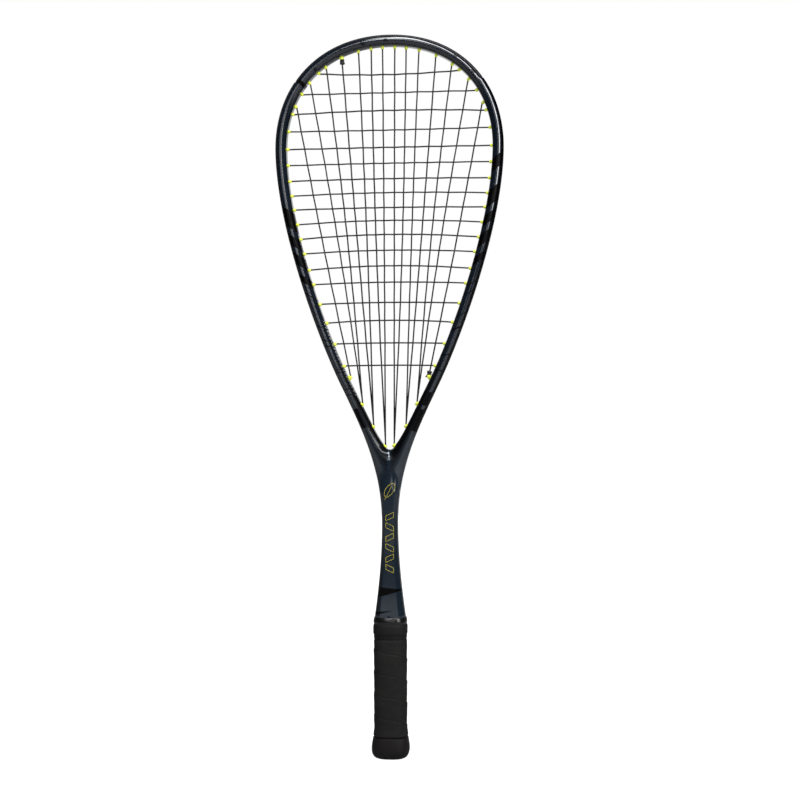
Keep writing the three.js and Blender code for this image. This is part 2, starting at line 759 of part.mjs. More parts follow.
const headHoles = (side) => [...side.top, ...side.cross.slice(0, 2)];
add('frame', frameSolid(), 'navy');
add('bumper_guard', bumperSolid(), 'black');
add('grommet_strip_head', strip(
  0.5 - STRIP_JOINT,
  STRIP_JOINT - 0.5,
  32,
  SIDES.flatMap(headHoles),
), 'yellow');
add('grommet_strip_left', strip(
  -STRIP_JOINT,
  -STRIP_END,
  16,
  LEFT.cross.slice(2),
), 'yellow');
add('grommet_strip_right', strip(
  STRIP_JOINT,
  STRIP_END,
  16,
  RIGHT.cross.slice(2),
), 'yellow');
for (const [word, side] of [['left', LEFT], ['right', RIGHT]]) {
  side.low.forEach((h, i) => add(`throat_grommet_${word}_${i + 1}`, lowGrommet(h), 'yellow'));
}
add('throat_tube', throatTube(), 'yellow');
add('string', stringSolid(), 'string');
add('handle_core_front', coreHalf(-1), 'foam');
add('handle_core_back', coreHalf(1), 'foam');
add('butt_cap', capSolid(), 'cap');
add('cap_staple_front', staple(-1, 0), 'steel');
add('cap_staple_back', staple(1, 0), 'steel');
add('grip_wrap', wrapSolid(), 'grip');
add('finishing_tape', tapeSolid(), 'black');
add('rubber_collar', collarSolid(), 'cap');

export default racket;
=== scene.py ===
"""Looks of the strung squash racket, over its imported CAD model.

Lengths are in millimetres until a mesh is made. +Z runs up the shaft and the photographed face looks to -Y.
"""

import functools
import math

import bmesh
import bpy
import numpy as np
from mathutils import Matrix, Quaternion, Vector


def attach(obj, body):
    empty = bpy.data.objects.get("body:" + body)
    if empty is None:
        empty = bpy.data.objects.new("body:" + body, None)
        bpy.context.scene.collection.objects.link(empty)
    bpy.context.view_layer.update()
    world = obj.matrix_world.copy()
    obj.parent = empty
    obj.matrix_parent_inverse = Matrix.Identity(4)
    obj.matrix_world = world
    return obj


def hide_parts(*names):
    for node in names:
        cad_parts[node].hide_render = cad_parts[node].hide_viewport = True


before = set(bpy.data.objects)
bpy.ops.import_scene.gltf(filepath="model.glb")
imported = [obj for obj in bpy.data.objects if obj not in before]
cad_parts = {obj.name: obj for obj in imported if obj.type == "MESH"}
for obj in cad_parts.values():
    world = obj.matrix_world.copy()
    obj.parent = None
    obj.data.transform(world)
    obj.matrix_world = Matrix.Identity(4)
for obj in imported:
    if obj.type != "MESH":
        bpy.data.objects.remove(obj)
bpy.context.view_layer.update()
MM = 0.001

# ----- the racket's driving sizes, as in the CAD model -----

LENGTH = 678
HEAD_HALF = 107.5
WIDEST_Z = 573
HOOP_THICK = 10.3  # across the face, at the head
LEG_THICK = 9.2
MERGE_THICK, MERGE_FADE = 9, 14.5  # the legs' extra thickness at the V, and how fast it fades upwards
HOOP_HALF_DEPTH = 9.2
SHAFT_HALF_DEPTH = 9.8  # at the throat
SHAFT_FOOT_Z, SHAFT_FOOT_HALF, SHAFT_FOOT_HALF_DEPTH = 133, 14.3, 11.6
TENON_HALF, TENON_HALF_DEPTH = 9.6, 8.0  # the frame's end inside the handle
GROOVE_DEPTH = 2.8
GROOVE_HALF = 2.9
GROOVE_END_Z = 258
V_Z = 281
STRING_R = 0.72  # the drawn string is a little thicker than the real one
WEAVE = 0.73  # how far a string stands off the bed's plane at a crossing
PAIR = 0.72  # how far apart two strings in one hole are, each side of the plane
LANE = 1.5  # where a long run lies in the groove, so that others pass it
NARROW = {"outer": 1.5, "bore": 0.85}
WIDE = {"outer": 2.1, "bore": 1.6}
PROUD = 2.4  # how far a grommet stands out of the hoop's inner face
STRIP_THICK, STRIP_SUNK = 0.7, 0.3
RUN_LEVEL = 2.0  # the height of a run in the groove above the groove's floor
MOUTH = 0.9  # how much deeper than a run a grommet's mouth opens
TUNNEL_Z = 267
FORK_TOP_Z = 312  # the mesh is finer from here down to where the legs merge
MERGED_Z = 262  # the two legs are one below this
KNOT_TURNS, KNOT_STEPS = 5.2, 104
BUMPER_THICK = 1.3
BUMPER_END_Z = 635
SEAT_TOP_Z, SEAT_FOOT_Z = 637, 627
SKIN_STEP = 1.8  # the height over which the visible skin steps in to the bumper's seat
WRAP_FOOT_Z, WRAP_TOP_Z = 20.9, 123.4
WRAP_PITCH = 20.5
WRAP_HALF, WRAP_BORE = (15.35, 13.9), (13.6, 12.1)  # half sizes across the face and through it
COLLAR_HALF = 16
SKIRT_TOP_Z = 126.2  # the collar's thin skirt ends here and its bead begins
SQUARISH = 2.7  # the handle's superellipse power

# The main strings of one half: each one's top grommet's X, its bottom grommet and its sideways bow.
MAINS = [
    (5.8, 0, -0.2),
    (16.5, 0, 1.9),
    (28.5, 1, -0.8),
    (44.3, 1, 0.3),
    (59.2, 2, -2.5),
    (74.4, 2, -1.8),
    (87.5, 3, 1.1),
]
# The four throat grommets of one side, from the V upwards.
LOW_GROMMET_Z = (293.3, 311.6, 332.6, 358.2)
LOW_PROUD = (1.0, 1.0, 1.2, PROUD)

# Each cross string: the height of its ends and how far its middle is above them.
CROSSES = [
    (643.3, -2.1), (624.2, 0), (605.6, 2.0), (589.5, -0.4), (572.7, 0.2), (557.6, 0.4),
    (542.6, 0.9), (528.7, 1.7), (515.5, 0.9), (501.6, 2.7), (487.8, 3.3), (474.0, 2.3),
    (458.6, 3.1), (444.8, 1.5), (426.2, 1.1), (408.4, 2.1), (388.6, 0.7), (367.9, 0.4),
]


def smooth(x, lo, hi):
    t = np.clip((np.asarray(x, float) - lo) / (hi - lo), 0, 1)
    return t * t * (3 - 2 * t)


def lerp(a, b, t):
    return a + (b - a) * t


def circle(count):
    return np.linspace(0, 2 * math.pi, count, endpoint=False)


def unit(v):
    v = np.asarray(v, float)
    return v / np.linalg.norm(v)


# ----- outline of the right half -----

OUTLINE = [
    [(0, LENGTH), (67, LENGTH), (HEAD_HALF, 632), (HEAD_HALF, WIDEST_Z)],
    [(HEAD_HALF, WIDEST_Z), (HEAD_HALF, 501), (67.5, 394.9), (46.8, 351.9)],
    [(46.8, 351.9), (26.9, 310.5), (7.3, 272.8), (7.3, 220)],
    [(7.3, 220), (7.3, 190.3), (10.1, 162.3), (SHAFT_FOOT_HALF, SHAFT_FOOT_Z)],
]


def bezier(corners, t):
    a, b, c, d = (np.array(p, float) for p in corners)
    t = t[:, None]
    u = 1 - t
    return u**3 * a + 3 * u * u * t * b + 3 * u * t * t * c + t**3 * d


STEPS = np.linspace(0, 1, 600, endpoint=False)
EDGE = np.vstack([bezier(c, STEPS) for c in OUTLINE] + [[OUTLINE[-1][-1]]])
EDGE_S = np.concatenate([[0], np.cumsum(np.hypot(*np.diff(EDGE, axis=0).T))])
EDGE_END = EDGE_S[-1]
EDGE_TURN = np.gradient(EDGE, EDGE_S, axis=0)
EDGE_TURN[0] = (1, 0)


def edge_at(s):
    """The outline point at signed distances from the top, and the direction into the hoop."""
    side = np.where(np.asarray(s) < 0, -1.0, 1.0)
    s = np.clip(np.abs(s), 0, EDGE_END)
    x, z, tx, tz = (np.interp(s, EDGE_S, c) for c in (*EDGE.T, *EDGE_TURN.T))
    size = np.hypot(tx, tz)
    return side * x, z, side * tz / size, -tx / size


def place(s, u, v):
    """The point at a distance s along the outline, u into the hoop and v across its depth."""
    x, z, in_x, in_z = edge_at(s)
    return np.stack(np.broadcast_arrays(x + u * in_x, v, z + u * in_z), -1)


def solve(quantity, value, lo=0.0, hi=EDGE_END):
    """The distance along the right half at which a falling quantity reaches a value."""
    for _ in range(40):
        mid = (lo + hi) / 2
        if quantity(mid) > value:
            lo = mid
        else:
            hi = mid
    return (lo + hi) / 2


def s_at_z(z):
    return solve(lambda s: edge_at(s)[1], z)


SAMPLE_S = np.linspace(0, EDGE_END, 1601)
SAMPLES = np.stack(edge_at(SAMPLE_S), -1)


def nearest(x, z):
    """The nearest distance along the outline to a point of the right half, and its depth there."""
    gaps = np.hypot(SAMPLES[:, 0] - x, SAMPLES[:, 1] - z)
    i = int(np.argmin(gaps))
    ex, ez, ix, iz = SAMPLES[i]
    return SAMPLE_S[i], (x - ex) * ix + (z - ez) * iz


# ----- the frame's cross-section -----


def inset(z):
    """How far the bumper's seat is let in, as in the CAD. The strings and grommets follow it."""
    return BUMPER_THICK * smooth(z, SEAT_FOOT_Z, SEAT_TOP_Z)


def skin_inset(z):
    return BUMPER_THICK * smooth(z, SEAT_TOP_Z - SKIN_STEP, SEAT_TOP_Z)


def groove(z):
    return GROOVE_DEPTH * smooth(z, GROOVE_END_Z - 8, GROOVE_END_Z + 8)


def run_depth(z):
    return groove(z) + inset(z) - RUN_LEVEL


def thickness(z):
    merge = MERGE_THICK * np.exp(-(np.asarray(z, float) - V_Z) / MERGE_FADE)
    return LEG_THICK + (HOOP_THICK - LEG_THICK) * smooth(z, 380, 560) + merge


def half_depth(z):
    throat = lerp(SHAFT_HALF_DEPTH, HOOP_HALF_DEPTH, smooth(z, 250, 330))
    return lerp(SHAFT_FOOT_HALF_DEPTH, throat, smooth(z, 128, 205))


def cut_corners(points, times):
    """Rounds closed polygons, given as an array of (polygon, corner, 2)."""
    for _ in range(times):
        after = np.roll(points, -1, axis=1)
        near = points * 0.75 + after * 0.25
        far = points * 0.25 + after * 0.75
        points = np.stack([near, far], 2).reshape(len(points), -1, 2)
    return points


def sections(x, z, in_x):
    """Closed outlines (u, v) of one half of the frame at outline points, hoop blended into stem.

    A corner is given by shares of the thickness t or the stem's half width w, and of the half depth h.
    """
    shaft = 1 - smooth(z, 255, V_Z)
    e, g, h = skin_inset(z), groove(z), half_depth(z)
    t = np.minimum(thickness(np.maximum(z, MERGED_Z)), 60) - e
    middle = np.where(in_x > -0.2, 1e3, -x / np.minimum(in_x, -1e-6))
    w = np.minimum(middle, 40)
    facet = smooth(-z, -200, -150)
    hoop = [
        (g, GROOVE_HALF), (0.2, 2.95), (0, 3.4), (0, 4.6), (0.1 * t, 0.68 * h),
        (0.2 * t, 0.9 * h), (0.43 * t, 1.0 * h), (0.52 * t, 0.99 * h), (0.61 * t, 0.972 * h),
        (0.63 * t, 0.963 * h), (0.88 * t, 0.775 * h), (1.0 * t, 0.5 * h), (1.0 * t, 0),
    ]
    stem = [
        (g, GROOVE_HALF), (0.02, 2.6), (0, 3.2), (0, 4.0), (0.07 * w, 0.6 * h),
        (lerp(0.34, 0.22, facet) * w, lerp(0.95, 0.8, facet) * h),
        (lerp(0.39, 0.36, facet) * w, lerp(0.982, 0.985, facet) * h),
        (lerp(0.46, 0.4, facet) * w, lerp(0.99, 1.0, facet) * h), (0.9 * w, h), (1.15 * w, h),
        (1.5 * w, 0.95 * h), (1.9 * w, 0.6 * h), (2 * w, 0),
    ]
    half = np.stack([
        np.stack([lerp(hu, su, shaft) + e, lerp(hv, sv, shaft)], -1)
        for (hu, hv), (su, sv) in zip(hoop, stem)
    ], 1)
    other = half[:, -2::-1] * (1, -1)
    full = cut_corners(np.concatenate([half, other], 1), 2)
    full[..., 0] = np.minimum(full[..., 0], middle[:, None])
    return full


# ----- string holes -----


def tip_at(s, proud=PROUD):
    return place(s, thickness(edge_at(s)[1]) + proud, 0.0)


def make_hole(tip, pull, size, tail_y=0.0):
    """A hole from its tip inside the hoop to its mouth in the groove, leant towards the string's pull."""
    s0, _ = nearest(tip[0], tip[2])
    _, _, in_x, in_z = edge_at(s0)
    along = unit([pull[0] - in_x, 0, pull[1] - in_z])
    lo, hi = 0.0, 40.0
    for _ in range(30):
        mid = (lo + hi) / 2
        q = tip + along * mid
        s, depth = nearest(q[0], q[2])
        if depth > run_depth(edge_at(s)[1]) + MOUTH:
            lo = mid
        else:
            hi = mid
    mouth = tip + along * lo
    s, _ = nearest(mouth[0], mouth[2])
    mouth[1] = tail_y
    tail = place(s, run_depth(edge_at(s)[1]), tail_y)
    return {"tip": tip, "mouth": mouth, "tail": tail, "size": size, "s": s}


def low_tip(grommet):
    z, proud = LOW_GROMMET_Z[grommet], LOW_PROUD[grommet]
    return tip_at(solve(lambda s: tip_at(s, proud)[2], z, s_at_z(420), s_at_z(270)), proud)


def top_hole(i):
    x, grommet, _ = MAINS[i]
    tip = tip_at(solve(lambda s: -tip_at(s)[0], -x, 0, s_at_z(560)))
    pull = unit(tip - low_tip(grommet))
    return make_hole(tip, (pull[0], pull[2]), NARROW, {5: -LANE, 6: LANE}.get(i, 0.0))


def cross_hole(z):
    s = solve(lambda d: tip_at(d)[2], z, s_at_z(672), s_at_z(330))
    return make_hole(tip_at(s), (1, 0), NARROW)


def flip(h):
    return {**h, "s": -h["s"], **{key: h[key] * (-1, 1, 1) for key in ("tip", "mouth", "tail")}}


RIGHT = {
    "top": [top_hole(i) for i in range(len(MAINS))],
    "low": [make_hole(low_tip(g), (0, -1), WIDE) for g in range(4)],
    "cross": [cross_hole(z) for z, _ in CROSSES],
}
LEFT = {key: [flip(h) for h in holes] for key, holes in RIGHT.items()}
LEFT["top"][3]["size"] = WIDE
HOLES = {-1: LEFT, 1: RIGHT}

# ----- the one string -----


def main_x(i, z):
    top, low = RIGHT["top"][i]["tip"], RIGHT["low"][MAINS[i][1]]["tip"]
    t = (z - low[2]) / (top[2] - low[2])
    return lerp(low[0], top[0], t) + MAINS[i][2] * math.sin(math.pi * t)


def meeting(i, j):
    """Where main i of the right half meets cross j, or None."""
    end = RIGHT["cross"][j]["tip"]
    z = end[2]
    for _ in range(3):
        z = end[2] + CROSSES[j][1] * (1 - (main_x(i, z) / end[0]) ** 2)
    x = main_x(i, z)
    low, high = low_tip(MAINS[i][1])[2], RIGHT["top"][i]["tip"][2]
    if x > end[0] - 1.2 or not low + 3 < z < high - 3:
        return None
    return x, z


MEETINGS = {(i, j): meeting(i, j) for i in range(len(MAINS)) for j in range(len(CROSSES))}


def sign(side, i, j):
    """1 where main i of a side passes cross j on the back (+Y) side, -1 where on the front."""
    number = 6 - i if side < 0 else 7 + i
    return 1 if (number + j) % 2 == 0 else -1


def low_side(side, i):
    return sign(side, i, len(CROSSES) - 1) * PAIR


def at_y(p, y):
    return np.array([p[0], y, p[2]])


def woven(points):
    """Eases a string through its crossings: straight across the face, rounded through it."""
    line = [points[0]]
    for a, b in zip(points, points[1:]):
        for t in (0.12, 0.3, 0.5, 0.7, 0.88, 1.0):
            p = lerp(a, b, t)
            p[1] = lerp(a[1], b[1], float(smooth(t, 0.02, 0.98)))
            line.append(p)
    return line


def main_line(side, i, top_y=0.0):
    holes = HOLES[side]
    points = [at_y(holes["low"][MAINS[i][1]]["tip"], low_side(side, i))]
    for j in reversed(range(len(CROSSES))):
        if MEETINGS[i, j]:
            x, z = MEETINGS[i, j]
            points.append(np.array([side * x, sign(side, i, j) * WEAVE, z]))
    points.append(at_y(holes["top"][i]["tip"], top_y))
    return woven(points)


def cross_line(j):
    points = []
    for side in (-1, 1):
        for i in range(len(MAINS)):
            if MEETINGS[i, j]:
                x, z = MEETINGS[i, j]
                points.append(np.array([side * x, -sign(side, i, j) * WEAVE, z]))
    points.sort(key=lambda p: p[0])
    return woven([LEFT["cross"][j]["tip"], *points, RIGHT["cross"][j]["tip"]])


def groove_run(a, b, from_y, to_y, lane=None):
    length = abs(b["s"] - a["s"])
    pieces = max(3, math.ceil(length / 5))
    edge = math.copysign(min(3, length / 3), b["s"] - a["s"])
    line = [at_y(a["mouth"], from_y), at_y(a["tail"], from_y)]
    for k in range(pieces):
        s = lerp(a["s"] + edge, b["s"] - edge, k / (pieces - 1))
        y = lerp(from_y, to_y, (k + 0.5) / pieces) if lane is None else lane
        line.append(place(s, run_depth(edge_at(s)[1]), y))
    return [*line, at_y(b["tail"], to_y), at_y(b["mouth"], to_y)]


def half_mains(side):
    top, low = HOLES[side]["top"], HOLES[side]["low"]
    shared = -PAIR if side < 0 else 0.0

    def y(i):
        return low_side(side, i)

    return [
        at_y(low[0]["tail"], y(0)),
        at_y(low[0]["mouth"], y(0)),
        *main_line(side, 0),
        *groove_run(top[0], top[1], 0, 0),
        *main_line(side, 1)[::-1],
        *groove_run(low[0], low[1], y(1), y(2)),
        *main_line(side, 2),
        *groove_run(top[2], top[3], 0, shared),
        *main_line(side, 3, shared)[::-1],
        *groove_run(low[1], low[2], y(3), y(4)),
        *main_line(side, 4),
        *groove_run(top[4], top[5], 0, -LANE, -LANE),
        *main_line(side, 5)[::-1],
        *groove_run(low[2], low[3], y(5), y(6)),
        *main_line(side, 6),
    ]


def knot_line(hole, y, towards, tail):
    """From a hole's mouth inwards, then turns round the string that stays, and a short tail."""
    inward = unit((towards - hole["tip"]) * (1, 0, 1))
    other = unit(np.cross(inward, (0, 1, 0)))
    back = np.array([0, 1, 0]) * math.copysign(1, y)
    core = at_y(hole["tip"], 0) + inward * 0.7
    line = [at_y(hole["mouth"], y), at_y(hole["tip"], y)]
    for k in range(KNOT_STEPS + 1):
        share = k / KNOT_STEPS
        turn = 2 * math.pi * KNOT_TURNS * share
        along = 1.7 - 1.7 * math.cos(2.2 * math.pi * share)
        arm = 1.0 + 0.75 * math.sin(math.pi * share)
        line.append(core + inward * along + arm * (math.cos(turn) * back + math.sin(turn) * other))
    line.append(line[-1] + unit(tail) * 1.2)
    line.append(line[-1] + unit(tail) * (float(np.linalg.norm(tail)) - 1.2))
    return line


def string_line():
    bend = float(edge_at(s_at_z(TUNNEL_Z))[0]) - 0.9
    left = [
        *half_mains(-1),
        *groove_run(LEFT["top"][6], LEFT["top"][3], LANE, PAIR, LANE),
        *knot_line(LEFT["top"][3], PAIR, main_line(-1, 3)[-2], np.array([1.0, 0, 0.8])),
    ]
    tunnel = [np.array([-bend, 0, TUNNEL_Z]), np.array([bend, 0, TUNNEL_Z])]
    line = [*left[::-1], *tunnel, *half_mains(1)]
    line += groove_run(RIGHT["top"][6], RIGHT["cross"][0], LANE, 0, LANE)
    for j in range(len(CROSSES)):
        leftward = j % 2 == 0
        line += cross_line(j)[::-1] if leftward else cross_line(j)
        if j + 1 < len(CROSSES):
            holes = LEFT["cross"] if leftward else RIGHT["cross"]
            line += groove_run(holes[j], holes[j + 1], 0, 0)
    tie_y = -low_side(1, 6)
    line += groove_run(RIGHT["cross"][-1], RIGHT["low"][3], 0, tie_y)
    line += knot_line(RIGHT["low"][3], tie_y, main_line(1, 6)[1], np.array([-2.2, 0, -2.4]))
    return line


# ----- materials -----


class Paint:
    """A small builder of one Principled material."""

    def __init__(self, name):
        self.material = bpy.data.materials.new(name)
        self.material.use_nodes = True
        self.tree = self.material.node_tree
        self.shader = self.tree.nodes["Principled BSDF"]
        self.place = self.node("ShaderNodeTexCoord").outputs["Object"]

    def node(self, kind, inputs=None, **values):
        made = self.tree.nodes.new(kind)
        for key, value in values.items():
            setattr(made, key, value)
        for key, value in (inputs or {}).items():
            self.feed(made.inputs[key], value)
        return made

    def feed(self, socket, value):
        if isinstance(value, bpy.types.NodeSocket):
            self.tree.links.new(value, socket)
        else:
            socket.default_value = value

    def set(self, **values):
        for key, value in values.items():
            self.feed(self.shader.inputs[key.replace("_", " ")], value)

    def math(self, operation, a, b=0.0, c=0.0):
        made = self.node("ShaderNodeMath", operation=operation)
        for socket, value in zip(made.inputs, (a, b, c)):
            self.feed(socket, value)
        return made.outputs[0]

    def noise(self, scale, detail=2.0, roughness=0.5, place=None):
        inputs = {"Vector": place or self.place, "Scale": scale, "Detail": detail, "Roughness": roughness}
        return self.node("ShaderNodeTexNoise", inputs).outputs["Fac"]

    def spots(self, scale):
        inputs = {"Vector": self.place, "Scale": scale}
        return self.node("ShaderNodeTexVoronoi", inputs, feature="F1").outputs["Distance"]

    def scaled(self, x, y, z):
        inputs = {"Vector": self.place, "Scale": (x, y, z)}
        return self.node("ShaderNodeMapping", inputs).outputs["Vector"]

    def below(self, value, limit):
        return self.math("LESS_THAN", value, limit)

    def above(self, value, limit):
        return self.math("GREATER_THAN", value, limit)

    def off(self, value, middle):
        return self.math("SUBTRACT", value, middle)

    def within(self, value, middle, half):
        return self.below(self.math("ABSOLUTE", self.off(value, middle)), half)

    def plus(self, a, b):
        return self.math("ADD", a, b)

    def times(self, *values):
        return functools.reduce(lambda a, b: self.math("MULTIPLY", a, b), values)

    def most(self, *values):
        return functools.reduce(lambda a, b: self.math("MAXIMUM", a, b), values)

    def line(self, x, slope, level):
        return self.math("MULTIPLY_ADD", x, slope, level)

    def span(self, value, lo, hi, low=0.0, high=1.0, easing="SMOOTHSTEP"):
        """Goes from low to high as a value goes from lo to hi."""
        made = self.node("ShaderNodeMapRange", interpolation_type=easing)
        for socket, v in zip(made.inputs, (value, lo, hi, low, high)):
            self.feed(socket, v)
        return made.outputs["Result"]

    def mix(self, share, a, b):
        inputs = {"Factor": share, "A": a, "B": b}
        return self.node("ShaderNodeMix", inputs, data_type="RGBA").outputs["Result"]

    def attribute(self, name):
        return self.node("ShaderNodeAttribute", attribute_name=name).outputs["Fac"]

    def bump(self, height, strength, distance):
        inputs = {"Height": height, "Strength": strength, "Distance": distance}
        self.set(Normal=self.node("ShaderNodeBump", inputs).outputs["Normal"])

    def bands(self, value, lo, hi, edges):
        """0 or 1 along a value: 0 at lo, then changing at each of the edges, which lie up to hi."""
        ramp = self.node("ShaderNodeValToRGB")
        ramp.color_ramp.interpolation = "CONSTANT"
        stops = ramp.color_ramp.elements
        stops[0].color = grey(0.0)
        stops[1].position = (edges[0] - lo) / (hi - lo)
        stops[1].color = grey(1.0)
        for k, e in enumerate(edges[1:]):
            stops.new((e - lo) / (hi - lo)).color = grey(k % 2)
        self.feed(ramp.inputs[0], self.span(value, lo, hi, easing="LINEAR"))
        return ramp.outputs["Color"]


def grey(v):
    return (v, v, v, 1.0)


# The heights at which the black graphic starts and ends, up each leg from the throat: for each ramp of
# the material the heights it goes from and to, and the edges in between.
RIGHT_BLACK = [
    (300, 440, [307, 327, 330.5, 343, 362, 363, 377, 378, 401, 402.8, 414, 414.9, 421, 421.8, 434.5, 435.3]),
    (440, 580, [443, 444, 451.5, 452.3, 463, 471.5, 479.7, 492, 499.4, 509.7, 517, 534, 550, 563]),
]
LEFT_BLACK = [
    (300, 400, [309.5, 327.5, 340, 340.8, 345, 346, 361, 362, 363.5, 364.3, 385.5, 386.5, 391, 391.8]),
    (400, 530, [404, 404.9, 416.8, 417.6, 433.5, 434.4, 445, 452.5, 461, 473, 479.7, 490, 497.5, 516]),
]
# Edges of the flag and the spike on the lower shaft, as slope over X and height.
FLAG_TOP, FLAG_FOOT = (-0.1, 160.3), (0.28, 154.6)
SPIKE_TOP, SPIKE_FOOT = (0.09, 139.1), (0.25, 138.4)
# The black outer share of the hoop is painted shade, for its chamfer that faces away from the lamps.
RIM_SHADE_SHARE = 0.17  # the outer share of the hoop's thickness that is black
# The black band round the upper left of the hoop: its direction, distance from the origin, half its width.
BAND_X, BAND_Z, BAND_FAR, BAND_HALF = 0.69, 0.72, 399.8, 1.9
# The ticks on the left leg: pitch, share of it that is grey, middle and half height, place across the leg.
TICK_PITCH, TICK_SHARE, TICK_Z, TICK_HALF_Z, TICK_ACROSS, TICK_HALF = 3.3, 0.6, 374.5, 35.5, 0.94, 0.035
# The black below serves both the printed graphic and the painted rim shade.
BLACK_INK_AND_SHADE = (0.0042, 0.0043, 0.0050, 1)
# The next colour is painted shade, for the inside of the fork.
PAINTED_FORK_SHADE = (0.0060, 0.0068, 0.0090, 1)
TICK_GREY = (0.36, 0.37, 0.38, 1)
# Lit and shaded copies of the one navy paint: the lighter low one is painted sheen on the throat and shaft,
# the darker high one painted shade on the head.
LIT_LOW_NAVY = (0.0090, 0.0170, 0.0275, 1), (0.0105, 0.0195, 0.0320, 1)
SHADED_HIGH_NAVY = (0.0045, 0.0090, 0.0165, 1), (0.0065, 0.0115, 0.0205, 1)
LACQUER_IOR = 1.85  # high, for a clear highlight on a dark colour

# Small dark smudges of the graphic on the head: X, Z and their half sizes.
SMUDGES = [
    (-23.6, 668.9, 2.6, 1.5), (-2.1, 671.6, 2.4, 1.3), (63.5, 655.4, 2.0, 2.0),
    (79.5, 640.6, 2.2, 2.6), (-68.6, 646.4, 1.6, 1.6),
]


def frame_paint():
    p = Paint("frame_lacquer")
    axes = p.node("ShaderNodeSeparateXYZ", {"Vector": p.place})
    x, z = (p.times(axes.outputs[k], 1000.0) for k in ("X", "Z"))
    across = p.attribute("across")
    # The graphic's edges slant over the leg's thickness, one way near the throat and the other way above.
    rise = p.span(z, 345.0, 440.0, -2.5, 8.0)
    slanted = p.line(p.off(across, 0.45), rise, z)
    right, left = (p.most(*(p.bands(slanted, *row) for row in rows)) for rows in (RIGHT_BLACK, LEFT_BLACK))
    legs = p.mix(p.above(x, 0.0), left, right)
    # A tapering flag and a thin spike on the front and back of the lower shaft.
    flag, spike = (
        p.times(p.below(z, p.line(x, *top)), p.above(z, p.line(x, *foot)))
        for top, foot in ((FLAG_TOP, FLAG_FOOT), (SPIKE_TOP, SPIKE_FOOT))
    )
    # The outer band of the hoop is painted black all the way round the head: painted shade on the outer
    # chamfer, which faces away from the lamps.
    rim_shade = p.times(p.below(across, RIM_SHADE_SHARE), p.span(z, 300.0, 310.0))
    black = p.most(legs, flag, spike, rim_shade)
    for spot_x, spot_z, half_x, half_z in SMUDGES:
        off_x = p.math("POWER", p.math("DIVIDE", p.off(x, spot_x), half_x), 2.0)
        off_z = p.math("POWER", p.math("DIVIDE", p.off(z, spot_z), half_z), 2.0)
        black = p.most(black, p.span(p.plus(off_x, off_z), 1.6, 0.3, 0.0, 0.75))
    over_band = p.plus(p.times(x, BAND_X), p.times(z, BAND_Z))
    band = p.times(p.within(over_band, BAND_FAR, BAND_HALF), p.below(x, -60.0), p.above(z, 600.0))
    black = p.most(black, band)
    cloud = p.noise(14.0, 3.0)
    wear = p.times(p.span(p.noise(95.0, 6.0, 0.7), 0.63, 0.7), p.span(z, 560.0, 660.0))
    # The navy darkens from the throat up to the head: painted light and shade on one paint.
    lit_and_shaded_navy = p.mix(p.span(z, 300.0, 420.0), p.mix(cloud, *LIT_LOW_NAVY), p.mix(cloud, *SHADED_HIGH_NAVY))
    colour = p.mix(black, lit_and_shaded_navy, BLACK_INK_AND_SHADE)
    colour = p.mix(p.times(wear, 0.08), colour, grey(0.06))
    rough = p.mix(black, grey(0.10), grey(0.38))
    rough = p.plus(rough, p.times(p.noise(60.0, 3.0), 0.03))
    rough = p.plus(rough, p.times(wear, 0.06))
    # Painted shade inside the fork, a darker colour on the legs' inner sides, and a duller lacquer on its
    # lips, each side of the middle.
    off_middle = p.math("ABSOLUTE", x)
    inner = p.times(p.span(across, 0.4, 0.62), p.span(z, 264.0, 280.0))
    inner = p.times(inner, p.span(off_middle, 1.0, 4.0), p.span(z, 400.0, 330.0))
    colour = p.mix(inner, colour, PAINTED_FORK_SHADE)
    dulled = p.times(p.span(across, 0.22, 0.42), p.span(z, 262.0, 276.0))
    dulled = p.times(dulled, p.span(off_middle, 0.7, 2.2), p.span(z, 330.0, 300.0))
    dulled = p.most(dulled, inner)
    black = p.most(black, p.times(dulled, 0.75))
    rough = p.plus(rough, p.times(dulled, 0.12))
    # A row of small grey ticks down the inner side of the left leg.
    tick = p.times(
        p.below(p.math("FRACT", p.math("DIVIDE", z, TICK_PITCH)), TICK_SHARE),
        p.within(z, TICK_Z, TICK_HALF_Z),
        p.within(across, TICK_ACROSS, TICK_HALF),
        p.below(x, 0.0),
    )
    colour = p.mix(tick, colour, TICK_GREY)
    # The black ink and the painted rim shade are nearly a dark metal, which keeps the lamps' highlights off
    # them.
    p.set(Base_Color=colour, Roughness=rough, Metallic=p.line(black, 0.75, 0.2))
    p.set(IOR=LACQUER_IOR)
    p.bump(p.plus(p.times(black, 0.25), p.noise(60.0, 1.0)), 0.01, 0.0002)
    return p.material


def plastic(name, colour, rough, scuff=0.08, grain=900.0, depth=0.0002, tint=None, specular=0.5, **more):
    """A moulded plastic or rubber, with a fine grain and faint scratches."""
    p = Paint(name)
    p.set(Specular_IOR_Level=specular)
    tint = tint or tuple(c * 0.8 for c in colour)
    p.set(Base_Color=p.mix(p.noise(60.0, 4.0), (*colour, 1), (*tint, 1)))
    fine = p.noise(grain, 3.0, 0.6)
    scratches = p.span(p.noise(40.0, 8.0, 0.75, p.scaled(1, 1, 6)), 0.55, 0.62)
    dull = p.line(fine, 0.1, rough)
    p.set(Roughness=p.plus(dull, p.times(scratches, scuff)))
    p.bump(fine, 0.25, depth)
    p.set(**more)
    return p.material


def string_coat():
    p = Paint("string_coating")
    fine = p.noise(3500.0, 2.0)
    p.set(Base_Color=p.mix(fine, (0.006, 0.006, 0.007, 1), (0.013, 0.013, 0.014, 1)))
    inputs = {"Vector": p.place, "Scale": 420.0, "Distortion": 1.0}
    twist = p.node("ShaderNodeTexWave", inputs, wave_type="BANDS", bands_direction="DIAGONAL")
    p.set(Roughness=p.line(fine, 0.2, 0.32))
    p.bump(twist.outputs["Fac"], 0.25, 0.0001)
    return p.material


